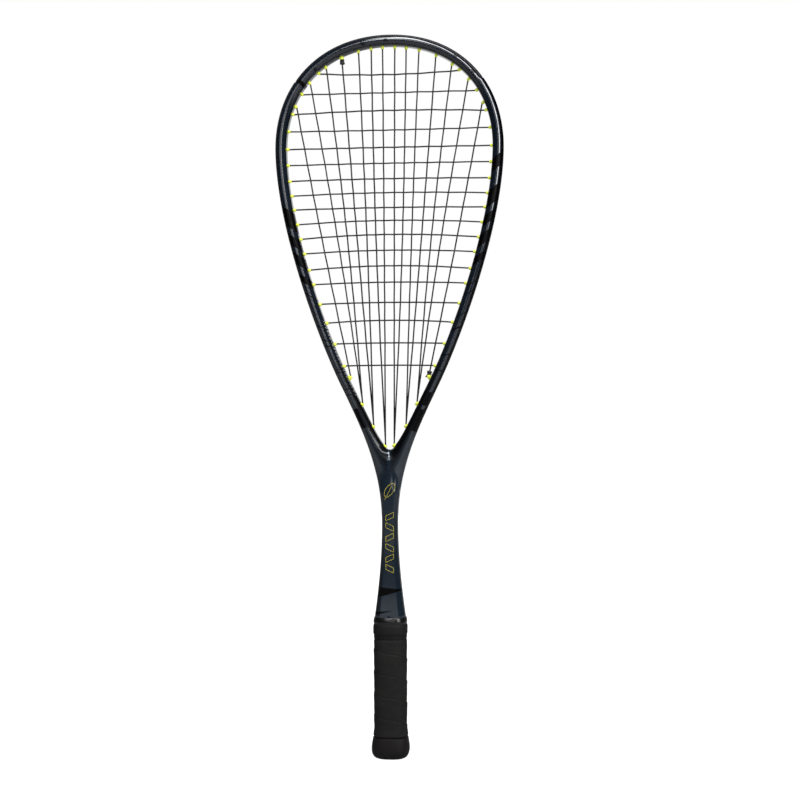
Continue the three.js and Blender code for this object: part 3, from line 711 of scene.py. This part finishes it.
def grip_leather():
    p = Paint("grip_leather")
    lap = p.attribute("lap")
    pores = p.spots(1500.0)
    grain = p.noise(700.0, 5.0, 0.65)
    worn = p.span(p.noise(35.0, 4.0), 0.45, 0.7)
    # Painted shadow: the colour darkens towards each lap's edge, where the next lap steps over it.
    edge = p.span(lap, 0.9, 1.0)
    colour = p.mix(worn, (0.0128, 0.0126, 0.0124, 1), (0.0168, 0.0164, 0.0160, 1))
    colour = p.mix(p.times(edge, 0.6), colour, (0.003, 0.003, 0.003, 1))
    p.set(Base_Color=colour)
    p.set(Roughness=p.line(grain, 0.2, p.line(worn, -0.12, 0.6)))
    p.set(Specular_IOR_Level=0.12)
    creases = p.noise(170.0, 4.0, 0.6, p.scaled(1, 1, 0.35))
    height = p.plus(grain, p.times(creases, 1.6))
    height = p.plus(p.times(pores, 0.5), height)
    p.bump(height, 0.45, 0.0005)
    return p.material


def foam():
    p = Paint("core_foam")
    cells = p.spots(1400.0)
    p.set(Base_Color=p.mix(cells, (0.62, 0.53, 0.33, 1), (0.75, 0.68, 0.47, 1)))
    p.set(Roughness=p.line(cells, 0.1, 0.85))
    p.bump(cells, 0.5, 0.0004)
    return p.material


def wire():
    p = Paint("staple_wire")
    drawn = p.noise(900.0, 3.0, 0.6, p.scaled(0.1, 1, 1))
    p.set(Base_Color=p.mix(drawn, grey(0.45), grey(0.62)), Metallic=1.0)
    p.set(Roughness=p.line(drawn, 0.2, 0.25))
    p.bump(drawn, 0.2, 0.0001)
    return p.material


FRAME_PAINT = frame_paint()
# The grommets' faint emission is painted light: a glow that lifts them where the lamps leave them in shade.
NEON_WITH_PAINTED_GLOW = plastic(
    "neon_nylon_painted_glow", (0.87, 0.95, 0.10), 0.4, tint=(0.80, 0.90, 0.07),
    Subsurface_Weight=0.25, Subsurface_Scale=0.001, Subsurface_Radius=(1.0, 1.0, 0.3),
    Emission_Color=(0.8, 0.93, 0.12, 1), Emission_Strength=0.2,
)
STRING_COAT = string_coat()
GRIP_LEATHER = grip_leather()
BUMPER_PLASTIC = plastic("bumper_plastic", (0.011, 0.011, 0.013), 0.36, 0.15)
TAPE_VINYL = plastic("tape_vinyl", (0.008, 0.008, 0.0085), 0.45, 0.1, 400.0, specular=0.15)
CAP_RUBBER = plastic("cap_rubber", (0.0100, 0.0086, 0.0090), 0.5, 0.1, 1200.0, 0.0003, specular=0.15)
COLLAR_RUBBER = plastic("collar_rubber", (0.0045, 0.0045, 0.0048), 0.2, 0.12, 1200.0, 0.0002)
SKIRT_RUBBER = plastic("skirt_rubber", (0.0110, 0.0106, 0.0106), 0.55, 0.1, depth=0.0004, specular=0.15)
GOLD_INK = plastic("gold_ink", (0.42, 0.36, 0.04), 0.4, 0.05)

# ----- mesh building -----


def shown(name, data):
    made = bpy.data.objects.new(name, data)
    bpy.context.collection.objects.link(made)
    return made


def mesh_object(name, points, faces, material, slot, replaced=(), attributes=None, weld=0.0, auto=None):
    """points in millimetres. faces are index rows. attributes holds one value for each point."""
    data = bpy.data.meshes.new(name)
    data.from_pydata((np.asarray(points, float) * MM).tolist(), [], faces)
    for key, values in (attributes or {}).items():
        layer = data.attributes.new(key, "FLOAT", "POINT")
        layer.data.foreach_set("value", np.asarray(values, np.float32).ravel())
    bm = bmesh.new()
    bm.from_mesh(data)
    if weld:
        bmesh.ops.remove_doubles(bm, verts=bm.verts, dist=weld * MM)
        bmesh.ops.dissolve_degenerate(bm, edges=bm.edges, dist=1e-7)
    bmesh.ops.recalc_face_normals(bm, faces=bm.faces)
    bm.to_mesh(data)
    bm.free()
    data.materials.append(material)
    data.shade_smooth()
    if auto is not None:
        data.set_sharp_from_angle(angle=math.radians(auto))
    made = shown(name, data)
    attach(made, "root")
    if replaced:
        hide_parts(*replaced)
    return made


def grid_faces(rows, columns, offset=0):
    """Quads between the rows of a grid, each row of which is a closed ring."""
    r = np.arange(rows - 1)[:, None]
    c = np.arange(columns)[None, :]
    a = r * columns + c
    b = r * columns + (c + 1) % columns
    return (np.stack([a, b, b + columns, a + columns], -1).reshape(-1, 4) + offset).tolist()


def around(columns):
    """Each column of a closed ring with the next one."""
    return [(c, (c + 1) % columns) for c in range(columns)]


def looped_faces(rows, columns):
    """The faces of a grid whose last row is joined to its first as well."""
    last = (rows - 1) * columns
    return grid_faces(rows, columns) + [[last + c, last + n, n, c] for c, n in around(columns)]


def tube_mesh(rings):
    """Points and faces of a closed tube of rings, with a fan at each end."""
    rings = np.asarray(rings, float)
    rows, columns = rings.shape[:2]
    points = np.vstack([rings.reshape(-1, 3), rings[0].mean(0), rings[-1].mean(0)])
    faces = grid_faces(rows, columns)
    first, last, end = rows * columns, rows * columns + 1, (rows - 1) * columns
    for c, n in around(columns):
        faces += [[first, n, c], [last, end + c, end + n]]
    return points, faces


def joined(parts):
    faces, count = [], 0
    for points, more in parts:
        faces += [[i + count for i in face] for face in more]
        count += len(points)
    return np.vstack([points for points, _ in parts]), faces


# ----- frame -----

COARSE_STEP, FINE_STEP = 2.2, 0.8


def frame_stations():
    """Points down the right outline and the tenon, and the directions into the frame there."""
    fine_from, fine_to = s_at_z(FORK_TOP_Z), s_at_z(MERGED_Z)
    hoop = np.stack(edge_at(np.concatenate([
        np.arange(0, fine_from, COARSE_STEP),
        np.arange(fine_from, fine_to, FINE_STEP),
        np.arange(fine_to, EDGE_END - 0.5, COARSE_STEP),
    ])), -1)
    hoop[0, 2:] = 0, -1
    tenon = [
        (SHAFT_FOOT_HALF, SHAFT_FOOT_Z), (13.9, 131.2), (13.4, 129.5), (11.0, 126),
        (TENON_HALF, 124), (TENON_HALF, 12),
    ]
    return np.vstack([hoop, [(x, z, -1, 0) for x, z in tenon]]).T


def relaxed(points, faces, weight, times):
    """Smooths a mesh where the weight says, keeping the rest."""
    edges = {(min(pair), max(pair)) for f in faces for pair in zip(f, [*f[1:], f[0]])}
    pairs = np.array(sorted(edges))
    counts = np.bincount(pairs.ravel(), minlength=len(points)).astype(float)[:, None]
    for _ in range(times):
        total = np.zeros_like(points)
        np.add.at(total, pairs[:, 0], points[pairs[:, 1]])
        np.add.at(total, pairs[:, 1], points[pairs[:, 0]])
        points = points + 0.5 * weight[:, None] * (total / np.maximum(counts, 1) - points)
    return points


def frame_mesh():
    x, z, in_x, in_z = frame_stations()
    flat = sections(x, z, in_x)
    slim = lerp(TENON_HALF_DEPTH / SHAFT_FOOT_HALF_DEPTH, 1.0, smooth(z, 122, 130))
    flat[..., 1] *= np.where(z < 130, slim, 1.0)[:, None]
    x, z, in_x, in_z = (a[:, None] for a in (x, z, in_x, in_z))
    half = np.stack([x + flat[..., 0] * in_x, flat[..., 1], z + flat[..., 0] * in_z], -1)
    half[np.abs(half[..., 0]) < 1e-4, 0] = 0
    rows, columns = half.shape[:2]
    # How far into the hoop's thickness each point is, for the paint: 0 outside, 1 at the inner face.
    depth = flat[..., 0] / np.maximum(thickness(np.maximum(z, MERGED_Z)), 1)
    right = half.reshape(-1, 3)
    left = right * (-1, 1, 1)
    faces = grid_faces(rows, columns)
    faces.append(list(range((rows - 1) * columns, rows * columns)))
    count = len(right)
    both = np.vstack([right, left])
    faces += [[i + count for i in reversed(f)] for f in faces]
    flat_x = np.abs(both[:, 0]) < 1e-4
    faces = [f for f in faces if not all(flat_x[i] for i in f)]
    # Weld the two halves along the middle plane.
    keys = {}
    index = np.arange(len(both))
    for i in np.nonzero(flat_x)[0]:
        key = (round(both[i, 1] * 200), round(both[i, 2] * 200))
        index[i] = keys.setdefault(key, i)
    welded = []
    for f in faces:
        f = [int(index[i]) for i in f]
        f = [a for a, b in zip(f, [*f[1:], f[0]]) if a != b]
        if len(set(f)) > 2:
            welded.append(f)
    used = np.unique([i for f in welded for i in f])
    faces = [np.searchsorted(used, f).tolist() for f in welded]
    points = both[used]
    across = np.concatenate([depth.ravel()] * 2)[used]
    # Even out the crotch of the fork, where the two legs' sections run into each other.
    pz, px = points[:, 2], np.abs(points[:, 0])
    weight = smooth(pz, 248, 262) * (1 - smooth(pz, 287, 294)) * (1 - smooth(px, 6, 13))
    points = relaxed(points, faces, weight, 220)
    return points, faces, {"across": across}


points, faces, extra = frame_mesh()
mesh_object(
    "frame_moulding", points, faces, FRAME_PAINT, "painted_frame", ["frame"], extra, weld=0.003, auto=40
)

# ----- bumper guard -----


def bumper_mesh():
    half = [
        (0, 0), (0, 2.6), (0.35, 4.6), (1.1, 6.2), (2.1, 7.4),
        (2.45, 7.35), (2.4, 6.9), (1.75, 5.6), (1.2, 3.2),
    ]
    other = [(u, -v) for u, v in half[:0:-1]]
    flat = cut_corners(np.array([half + other], float), 1)[0]
    end = s_at_z(BUMPER_END_Z)
    rings = []
    for s in np.linspace(-end, end, 160):
        ease = float(smooth(end - abs(s), 0, 3))
        u = lerp(1.2, flat[:, 0], 0.5 + 0.5 * ease)
        rings.append(place(s, u, flat[:, 1] * (0.9 + 0.1 * ease)))
    return tube_mesh(rings)


mesh_object("bumper_strip", *bumper_mesh(), BUMPER_PLASTIC, "black_plastic", ["bumper_guard"], auto=50)

# ----- grommets -----


def barrel_mesh(hole):
    """A tube with a domed, flared inner end: outside down, round the lip and back up the bore."""
    tip, mouth = hole["tip"], hole["mouth"]
    outer, bore = hole["size"]["outer"], hole["size"]["bore"]
    axis = unit(tip - mouth)
    length = float(np.linalg.norm(tip - mouth)) + hole.get("reach", 0.0)
    side = unit(np.cross(axis, (0, 1, 0)))
    up = np.cross(axis, side)
    profile = [
        (0.5, outer - 0.1), (length - 2.2, outer - 0.1), (length - 1.9, outer + 0.05),
        (length - 0.7, outer), (length - 0.25, outer - 0.22), (length, outer - 0.62),
        (length - 0.02, bore + 0.25), (length - 0.35, bore + 0.05), (length - 2, bore), (0.5, bore),
    ]
    turns = circle(20)
    rings = [
        mouth + axis * a + r * (np.cos(turns)[:, None] * side + np.sin(turns)[:, None] * up)
        for a, r in profile
    ]
    return np.concatenate(rings), looped_faces(len(rings), len(turns))


def band_mesh(start, end):
    """The thin strip in the groove, with its edges rounded."""
    half = [(0.1, 2.3), (0.25, 2.5), (0.6, 2.5), (0.7, 2.3)]
    flat = np.array(half + [(u, -v) for u, v in reversed(half)])
    rings = []
    for s in np.linspace(start, end, max(4, int(abs(end - start) / 4))):
        z = edge_at(s)[1]
        top = groove(z) + inset(z) - STRIP_SUNK - STRIP_THICK
        rings.append(place(s, top + flat[:, 0], flat[:, 1]))
    return tube_mesh(rings)


def grommet_piece(name, node, start, end, holes):
    parts = [band_mesh(start, end), *map(barrel_mesh, holes)]
    mesh_object(name, *joined(parts), NEON_WITH_PAINTED_GLOW, "grommet_plastic", [node], auto=45)


JOINT_S, STRIP_END_S = s_at_z(616), s_at_z(359.5)
head = [h for side in (LEFT, RIGHT) for h in (*side["top"], *side["cross"][:2])]
grommet_piece("head_grommets", "grommet_strip_head", 0.5 - JOINT_S, JOINT_S - 0.5, head)
grommet_piece("left_grommets", "grommet_strip_left", -JOINT_S, -STRIP_END_S, LEFT["cross"][2:])
grommet_piece("right_grommets", "grommet_strip_right", JOINT_S, STRIP_END_S, RIGHT["cross"][2:])
FERRULE_HALF = 3.2
for word, side, reach in (("left", LEFT, 0.2), ("right", RIGHT, 1.0)):
    for k, hole in enumerate(side["low"], 1):
        hole["reach"] = reach
        start, end = hole["s"] - FERRULE_HALF, hole["s"] + FERRULE_HALF
        grommet_piece(f"throat_ferrule_{word}_{k}", f"throat_grommet_{word}_{k}", start, end, [hole])

# ----- string -----


def string_curve():
    line = string_line()
    kept = [line[0]]
    for p in line[1:]:
        if np.linalg.norm(p - kept[-1]) > 0.15:
            kept.append(p)
    data = bpy.data.curves.new("string_cord", "CURVE")
    data.dimensions = "3D"
    data.bevel_depth = STRING_R * MM
    data.bevel_resolution = 2
    data.use_fill_caps = True
    spline = data.splines.new("POLY")
    spline.points.add(len(kept) - 1)
    flat = np.ones((len(kept), 4))
    flat[:, :3] = np.array(kept) * MM
    spline.points.foreach_set("co", flat.ravel())
    spline.use_smooth = True
    data.materials.append(STRING_COAT)
    made = shown("string_cord", data)
    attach(made, "root")
    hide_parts("string")


string_curve()

# ----- handle -----

RING_COLUMNS = 96


def squarish(turns, half_width, half_depth, power):
    def bend(k):
        return np.sign(k) * np.abs(k) ** (2 / power)

    return half_width * bend(np.cos(turns)), half_depth * bend(np.sin(turns))


def ring_at(z, half_width, half_depth, power=SQUARISH, columns=RING_COLUMNS):
    x, y = squarish(circle(columns), half_width, half_depth, power)
    return np.stack([x, y, np.full(columns, z)], -1)


def wrap_mesh():
    """The wound band. Each lap rises to its edge, and the whole is drawn in under the collar."""
    columns = 112
    z = np.arange(WRAP_FOOT_Z, WRAP_TOP_Z + 0.01, 0.4)
    zz, tt = np.meshgrid(z, circle(columns), indexing="ij")
    lap = (zz / WRAP_PITCH + tt / (2 * math.pi) + 0.42) % 1
    live = 1 - smooth(zz, 106, 110)
    flare = 0.9 * (1 - smooth(zz, WRAP_FOOT_Z, 30))
    squeeze = 0.6 * smooth(zz, 110, 112.5)
    rise = 0.42 * lap
    edge = -0.55 * np.exp(-((lap - 1) * WRAP_PITCH / 0.7) ** 2)
    edge = edge - 0.4 * np.exp(-(lap * WRAP_PITCH / 0.5) ** 2)
    lip = 0.06 * np.exp(-((lap - 0.93) * WRAP_PITCH / 1.3) ** 2)
    ripple = 0.07 * np.sin(3.1 * tt + 0.35 * zz) * np.sin(0.21 * zz + 1.7 * np.cos(tt))
    ripple = ripple + 0.05 * np.sin(7 * tt - 0.6 * zz)
    tuck = 0.8 * (1 - smooth(zz, WRAP_FOOT_Z, WRAP_FOOT_Z + 1.3))
    swell = 0.12 + flare - squeeze - tuck + live * (rise - 0.2 + edge + lip + ripple)
    x, y = squarish(tt, *WRAP_HALF, SQUARISH)
    size = 1 + swell / np.hypot(x, y)
    outer = np.stack([x * size, y * size, zz], -1)
    inner = [ring_at(k, *WRAP_BORE, 4.0, columns) for k in (WRAP_TOP_Z, WRAP_FOOT_Z)]
    rows = np.concatenate([outer, inner])
    laps = np.concatenate([lap, np.full((2, columns), 0.5)])
    return rows.reshape(-1, 3), looped_faces(len(rows), columns), {"lap": laps}


points, faces, extra = wrap_mesh()
wrap = mesh_object("grip_band", points, faces, GRIP_LEATHER, "grip", ["grip_wrap"], extra, auto=60)


def shell_points(levels):
    """Rings at levels that go up the outside and back down the inside."""
    return np.concatenate([ring_at(*level) for level in levels])


def collar_mesh():
    levels = [
        (117.0, 15.75, 14.4), (117.15, 15.9, 14.55), (117.8, 15.98, 14.62),
        (119.5, 16.0, 14.66), (122.3, 16.05, 14.7), (124.0, 15.95, 14.6),
        (125.4, 15.7, 14.35), (126.0, 15.42, 14.05), (126.4, 15.3, 13.95),
        (126.8, 15.42, 14.0), (127.6, 15.66, 14.15), (128.6, 15.7, 14.15),
        (129.8, 15.58, 13.95), (131.0, 15.4, 13.7), (131.9, 15.2, 13.45),
        (132.35, 15.0, 13.2), (132.5, 14.85, 13.05), (132.4, 14.72, 12.95),
        (129.0, 14.72, 12.95), (124.5, 15.3, 13.9), (123.8, 15.7, 14.35), (117.05, 15.7, 14.35),
    ]
    points = shell_points(levels)
    x, y, z = points.T
    turn = np.arctan2(y, x)
    wave = np.sin(13 * turn + 0.9 * z)
    wrinkle = 0.17 * np.exp(-(((z - 121) / 3.2) ** 2)) * wave * (0.6 + 0.4 * np.sin(3 * turn))
    points = points * (1 + (wrinkle / COLLAR_HALF)[:, None] * (1, 1, 0))
    return points, looped_faces(len(levels), RING_COLUMNS)


collar = mesh_object("grip_collar", *collar_mesh(), COLLAR_RUBBER, "cap_rubber", ["rubber_collar"], auto=60)
collar.data.materials.append(SKIRT_RUBBER)
for face in collar.data.polygons:
    face.material_index = int(face.center.z < SKIRT_TOP_Z * MM)


def cap_mesh():
    """The cap: its outside from the foot up, its sleeve inside the wrap, and its hollow's floor."""
    levels = [
        (0.0, 8.6, 7.4, 2.4), (0.0, 9.4, 8.1, 2.4), (0.15, 10.6, 9.2, 2.5), (0.6, 12.7, 11.2, 2.6),
        (1.3, 14.3, 12.6, 2.7), (2.2, 15.5, 13.7, 2.8), (3.2, 16.3, 14.4, 2.8), (4.4, 16.95, 15.0, 2.8),
        (6.0, 17.45, 15.45, 2.8), (7.6, 17.7, 15.7, 2.8), (9.4, 17.75, 15.75, 2.8), (11.5, 17.7, 15.65, 2.8),
        (13.5, 17.5, 15.45, 2.8), (15.5, 17.2, 15.15, 2.8), (17.4, 16.85, 14.85, 2.8),
        (18.7, 16.65, 14.65, 2.8), (19.5, 16.5, 14.5, 2.8), (20.0, 16.25, 14.3, 2.8),
        (20.2, 15.8, 13.9, 2.8), (20.2, 15.0, 13.2, 2.8), (20.2, 12.9, 11.45, 4.5),
        (37.8, 12.85, 11.4, 4.5), (38.0, 12.6, 11.2, 4.5), (37.8, 12.2, 10.8, 4.5),
        (3.6, 12.2, 10.8, 4.5), (3.5, 11.5, 10.0, 4.0), (3.5, 3.0, 3.0, 2.2),
    ]
    # The moulded recess in the cap's flat end.
    recess = [(0.0, 7.8, 6.6, 2.3), (0.35, 7.4, 6.2, 2.3), (0.4, 4.6, 4.0, 2.3), (0.15, 4.2, 3.6, 2.3)]
    points = shell_points(levels)
    count, columns = len(points), RING_COLUMNS
    points = np.vstack([points, shell_points(recess), [[0, 0, 0.15]], [[0, 0, 3.5]]])
    faces = grid_faces(len(levels), columns)
    faces += [[c, n, count + n, count + c] for c, n in around(columns)]
    faces += grid_faces(len(recess), columns, offset=count)
    low, last = count + (len(recess) - 1) * columns, (len(levels) - 1) * columns
    middle, floor = len(points) - 2, len(points) - 1
    faces += [[low + c, low + n, middle] for c, n in around(columns)]
    faces += [[last + c, last + n, floor] for c, n in around(columns)]
    return points, faces


mesh_object("butt_end_cap", *cap_mesh(), CAP_RUBBER, "cap_rubber", ["butt_cap"], auto=50)

for name, material in (
    ("handle_core_front", foam()), ("handle_core_back", foam()),
    ("cap_staple_front", wire()), ("cap_staple_back", wire()),
    ("throat_tube", NEON_WITH_PAINTED_GLOW), ("finishing_tape", TAPE_VINYL),
):
    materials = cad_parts[name].data.materials
    materials.clear()
    materials.append(material)

# ----- generic marks -----

bpy.context.evaluated_depsgraph_get()  # brings the frame's mesh up to date for ray_cast
BODY = bpy.data.objects["frame_moulding"]


def on_surface(x, z, front):
    """The frame's surface at a point of the face, in millimetres."""
    start = Vector((x * MM, -0.05 if front else 0.05, z * MM))
    hit, spot, normal, _ = BODY.ray_cast(start, Vector((0, 1 if front else -1, 0)))
    return np.array(spot) / MM + np.array(normal) * 0.05 if hit else np.array([x, 0, z])


def ribbon(corners, width, closed, front):
    """A thin raised line along corners (x, z) on the face, following the surface."""
    corners = [np.array(c, float) for c in corners]
    loop = corners + [corners[0]] if closed else corners
    fine = []
    for a, b in zip(loop, loop[1:]):
        steps = max(2, int(np.linalg.norm(b - a) / 0.6))
        fine += [lerp(a, b, k / steps) for k in range(steps)]
    if not closed:
        fine.append(loop[-1])
    n = len(fine)
    rows = []
    for i, p in enumerate(fine):
        before = fine[i - 1] if closed or i > 0 else p
        after = fine[(i + 1) % n] if closed or i < n - 1 else p
        d = unit(after - before)
        side = np.array([-d[1], d[0]]) * width / 2
        a, b = on_surface(*(p - side), front), on_surface(*(p + side), front)
        lift = np.array([0, -0.04 if front else 0.04, 0])
        rows.append([a - lift * 3, a + lift, b + lift, b - lift * 3])
    points = np.array(rows).reshape(-1, 3)
    if closed:
        return points, looped_faces(n, 4)
    last = (n - 1) * 4
    return points, grid_faces(n, 4) + [[3, 2, 1, 0], [last, last + 1, last + 2, last + 3]]


def leaf(cx, cz, half_width, half_height, lean):
    """A plain outlined leaf shape."""
    out = []
    for k in range(28):
        turn = 2 * math.pi * k / 28
        swell = math.copysign(abs(math.sin(turn)) ** 1.4, math.sin(turn))
        out.append((cx + half_width * swell + lean * math.cos(turn), cz + half_height * math.cos(turn)))
    return out


LINE_WIDTH, STALK_WIDTH = 0.5, 0.45
STALK = [(-4.2, 242.4), (-2.9, 244.6), (-0.4, 249.2), (1.2, 252.6), (2.4, 255.0)]
BLOCKS, BLOCK_FOOT_Z, BLOCK_PITCH, BLOCK_HIGH = 6, 174.4, 9.7, 4.6
BLOCK_LEFT, BLOCK_RIGHT, BLOCK_SLANT = -3.0, 4.2, 3.4


def block(k):
    """The corners of a slanted block. The blocks lean one way and the other in turn."""
    low = BLOCK_FOOT_Z + BLOCK_PITCH * k
    left, right = (low, low + BLOCK_SLANT) if k % 2 else (low + BLOCK_SLANT, low)
    return [
        (BLOCK_LEFT, left), (BLOCK_RIGHT, right),
        (BLOCK_RIGHT, right + BLOCK_HIGH), (BLOCK_LEFT, left + BLOCK_HIGH),
    ]


def mark_mesh(front):
    outline = leaf(cx=0.6, cz=251.4, half_width=4.3, half_height=6.6, lean=3.0)
    parts = [ribbon(outline, LINE_WIDTH, True, front), ribbon(STALK, STALK_WIDTH, False, front)]
    return joined(parts + [ribbon(block(k), LINE_WIDTH, True, front) for k in range(BLOCKS)])


for name, front in (("shaft_mark_front", True), ("shaft_mark_back", False)):
    mesh_object(name, *mark_mesh(front), GOLD_INK, "grommet_plastic")

# ----- camera, floor and lights -----

# The photograph's viewing angle and framing. Lengths from here on are in metres.
CAMERA_TURN = math.radians(6.25)
CAMERA_ROLL = -0.0031
CAMERA_AIM_RIGHT, CAMERA_AIM_UP = 0.00916, 0.3361
CAMERA_REACH = 1.4055
FOCAL_LENGTH, IMAGE_WIDTH = 1497, 799  # in pixels
SENSOR_WIDTH = 36  # in millimetres
FLOOR_RADIUS, FLOOR_SIDES = 4, 96
FLOOR_GAP = 0.0002  # how far the floor is below the butt
WORLD_GLOW = 0.03
# The key lamps follow the outline from a height on the right (mm) to a distance from the top (mm).
KEY_LAMPS, KEY_START_Z, KEY_END_S = 11, 530, 4
KEY_POWER, KEY_SIZE = 7.5, (0.55, 0.55)
# The outer chamfer of the head: its middle and run as shares of the width, its rise of the half depth.
CHAMFER_MIDDLE, CHAMFER_RUN, CHAMFER_RISE = 0.31, 0.23, 0.1
LAMP_REACH = 2.2
CROWN_Z = 284  # in millimetres, on the lips of the fork


def area_light(name, place, aim, size, power):
    lamp = bpy.data.lights.new(name, "AREA")
    lamp.shape = "RECTANGLE"
    lamp.size, lamp.size_y = size
    lamp.energy = power
    made = shown(name, lamp)
    made.location = place
    made.rotation_euler = (Vector(aim) - Vector(place)).to_track_quat("-Z", "Y").to_euler()
    made.visible_camera = False


def mirrored(spot, normal, eye):
    """Where a lamp stands so that a facet at a spot mirrors it to the eye."""
    normal, sight = Vector(normal).normalized(), (eye - spot).normalized()
    return spot + LAMP_REACH * (2 * normal.dot(sight) * normal - sight)


def studio():
    right = Vector((math.cos(CAMERA_TURN), math.sin(CAMERA_TURN), 0))
    back = Vector((math.sin(CAMERA_TURN), -math.cos(CAMERA_TURN), 0))
    aim = right * CAMERA_AIM_RIGHT + Vector((0, 0, CAMERA_AIM_UP))
    lens = bpy.data.cameras.new("camera")
    lens.lens = SENSOR_WIDTH * FOCAL_LENGTH / IMAGE_WIDTH
    lens.sensor_width = SENSOR_WIDTH
    camera = shown("camera", lens)
    eye = aim + back * CAMERA_REACH
    camera.location = eye
    level = (-back).to_track_quat("-Z", "Y")
    camera.rotation_euler = (level @ Quaternion((0, 0, 1), CAMERA_ROLL)).to_euler()
    bpy.context.scene.camera = camera

    turns = [2 * math.pi * k / FLOOR_SIDES for k in range(FLOOR_SIDES)]
    corners = [(FLOOR_RADIUS * math.cos(t), FLOOR_RADIUS * math.sin(t), -FLOOR_GAP) for t in turns]
    data = bpy.data.meshes.new("floor")
    data.from_pydata(corners, [], [list(range(FLOOR_SIDES))])
    floor = shown("floor", data)
    paper = Paint("floor_paper")
    paper.set(Base_Color=grey(0.4), Roughness=1.0, Specular_IOR_Level=0.0, Emission_Color=grey(1.0))
    paper.set(Emission_Strength=paper.node("ShaderNodeLightPath").outputs["Is Camera Ray"])
    data.materials.append(paper.material)

    world = bpy.context.scene.world = bpy.data.worlds.new("studio")
    world.use_nodes = True
    tree = world.node_tree
    backdrop = tree.nodes["Background"]
    backdrop.inputs["Color"].default_value = grey(1.0)
    seen = tree.nodes.new("ShaderNodeLightPath").outputs["Is Camera Ray"]
    level = tree.nodes.new("ShaderNodeMapRange")
    level.inputs["To Min"].default_value = WORLD_GLOW
    level.inputs["To Max"].default_value = 1.0
    tree.links.new(seen, level.inputs["Value"])
    tree.links.new(level.outputs["Result"], backdrop.inputs["Strength"])
    # Soft lamps that the outer chamfer of the head mirrors, up its right side to its top.
    for k, s in enumerate(np.linspace(s_at_z(KEY_START_Z), KEY_END_S, KEY_LAMPS)):
        x, z, in_x, in_z = (float(v) for v in edge_at(s))
        seat = float(inset(z))
        width = HOOP_THICK - seat
        middle = seat + CHAMFER_MIDDLE * width
        lean = math.atan2(CHAMFER_RISE * HOOP_HALF_DEPTH, CHAMFER_RUN * width)
        spot = Vector((x + middle * in_x, -HOOP_HALF_DEPTH, z + middle * in_z)) * MM
        normal = (-in_x * math.sin(lean), -math.cos(lean), -in_z * math.sin(lean))
        power = KEY_POWER * min(1, 0.35 + 0.15 * k)  # the lowest lamps are weaker
        area_light(f"key_{k + 1}", mirrored(spot, normal, eye), spot, KEY_SIZE, power)
    aim = Vector((0, 0, 0.42))
    area_light("front", aim + 2.6 * back + Vector((0, 0, 0.5)), aim, (0.55, 1.2), 3)
    area_light("top", (0.05, -0.5, 2.6), aim, (0.35, 0.8), 8)
    # Two lamps for the highlight on the lips of the fork.
    spot = Vector((0, -HOOP_HALF_DEPTH, CROWN_Z)) * MM
    area_light("crown", mirrored(spot, (0, -1, 0.4), eye), spot, (0.16, 1.4), 9)
    area_light("crown_low", mirrored(spot, (0, -1, 0.17), eye), spot, (0.16, 0.8), 1.6)
    area_light("back_panel", (-0.5, 2.6, 1.1), aim, (3.0, 2.4), 22)
    bpy.context.scene.view_settings.view_transform = "Standard"


studio()
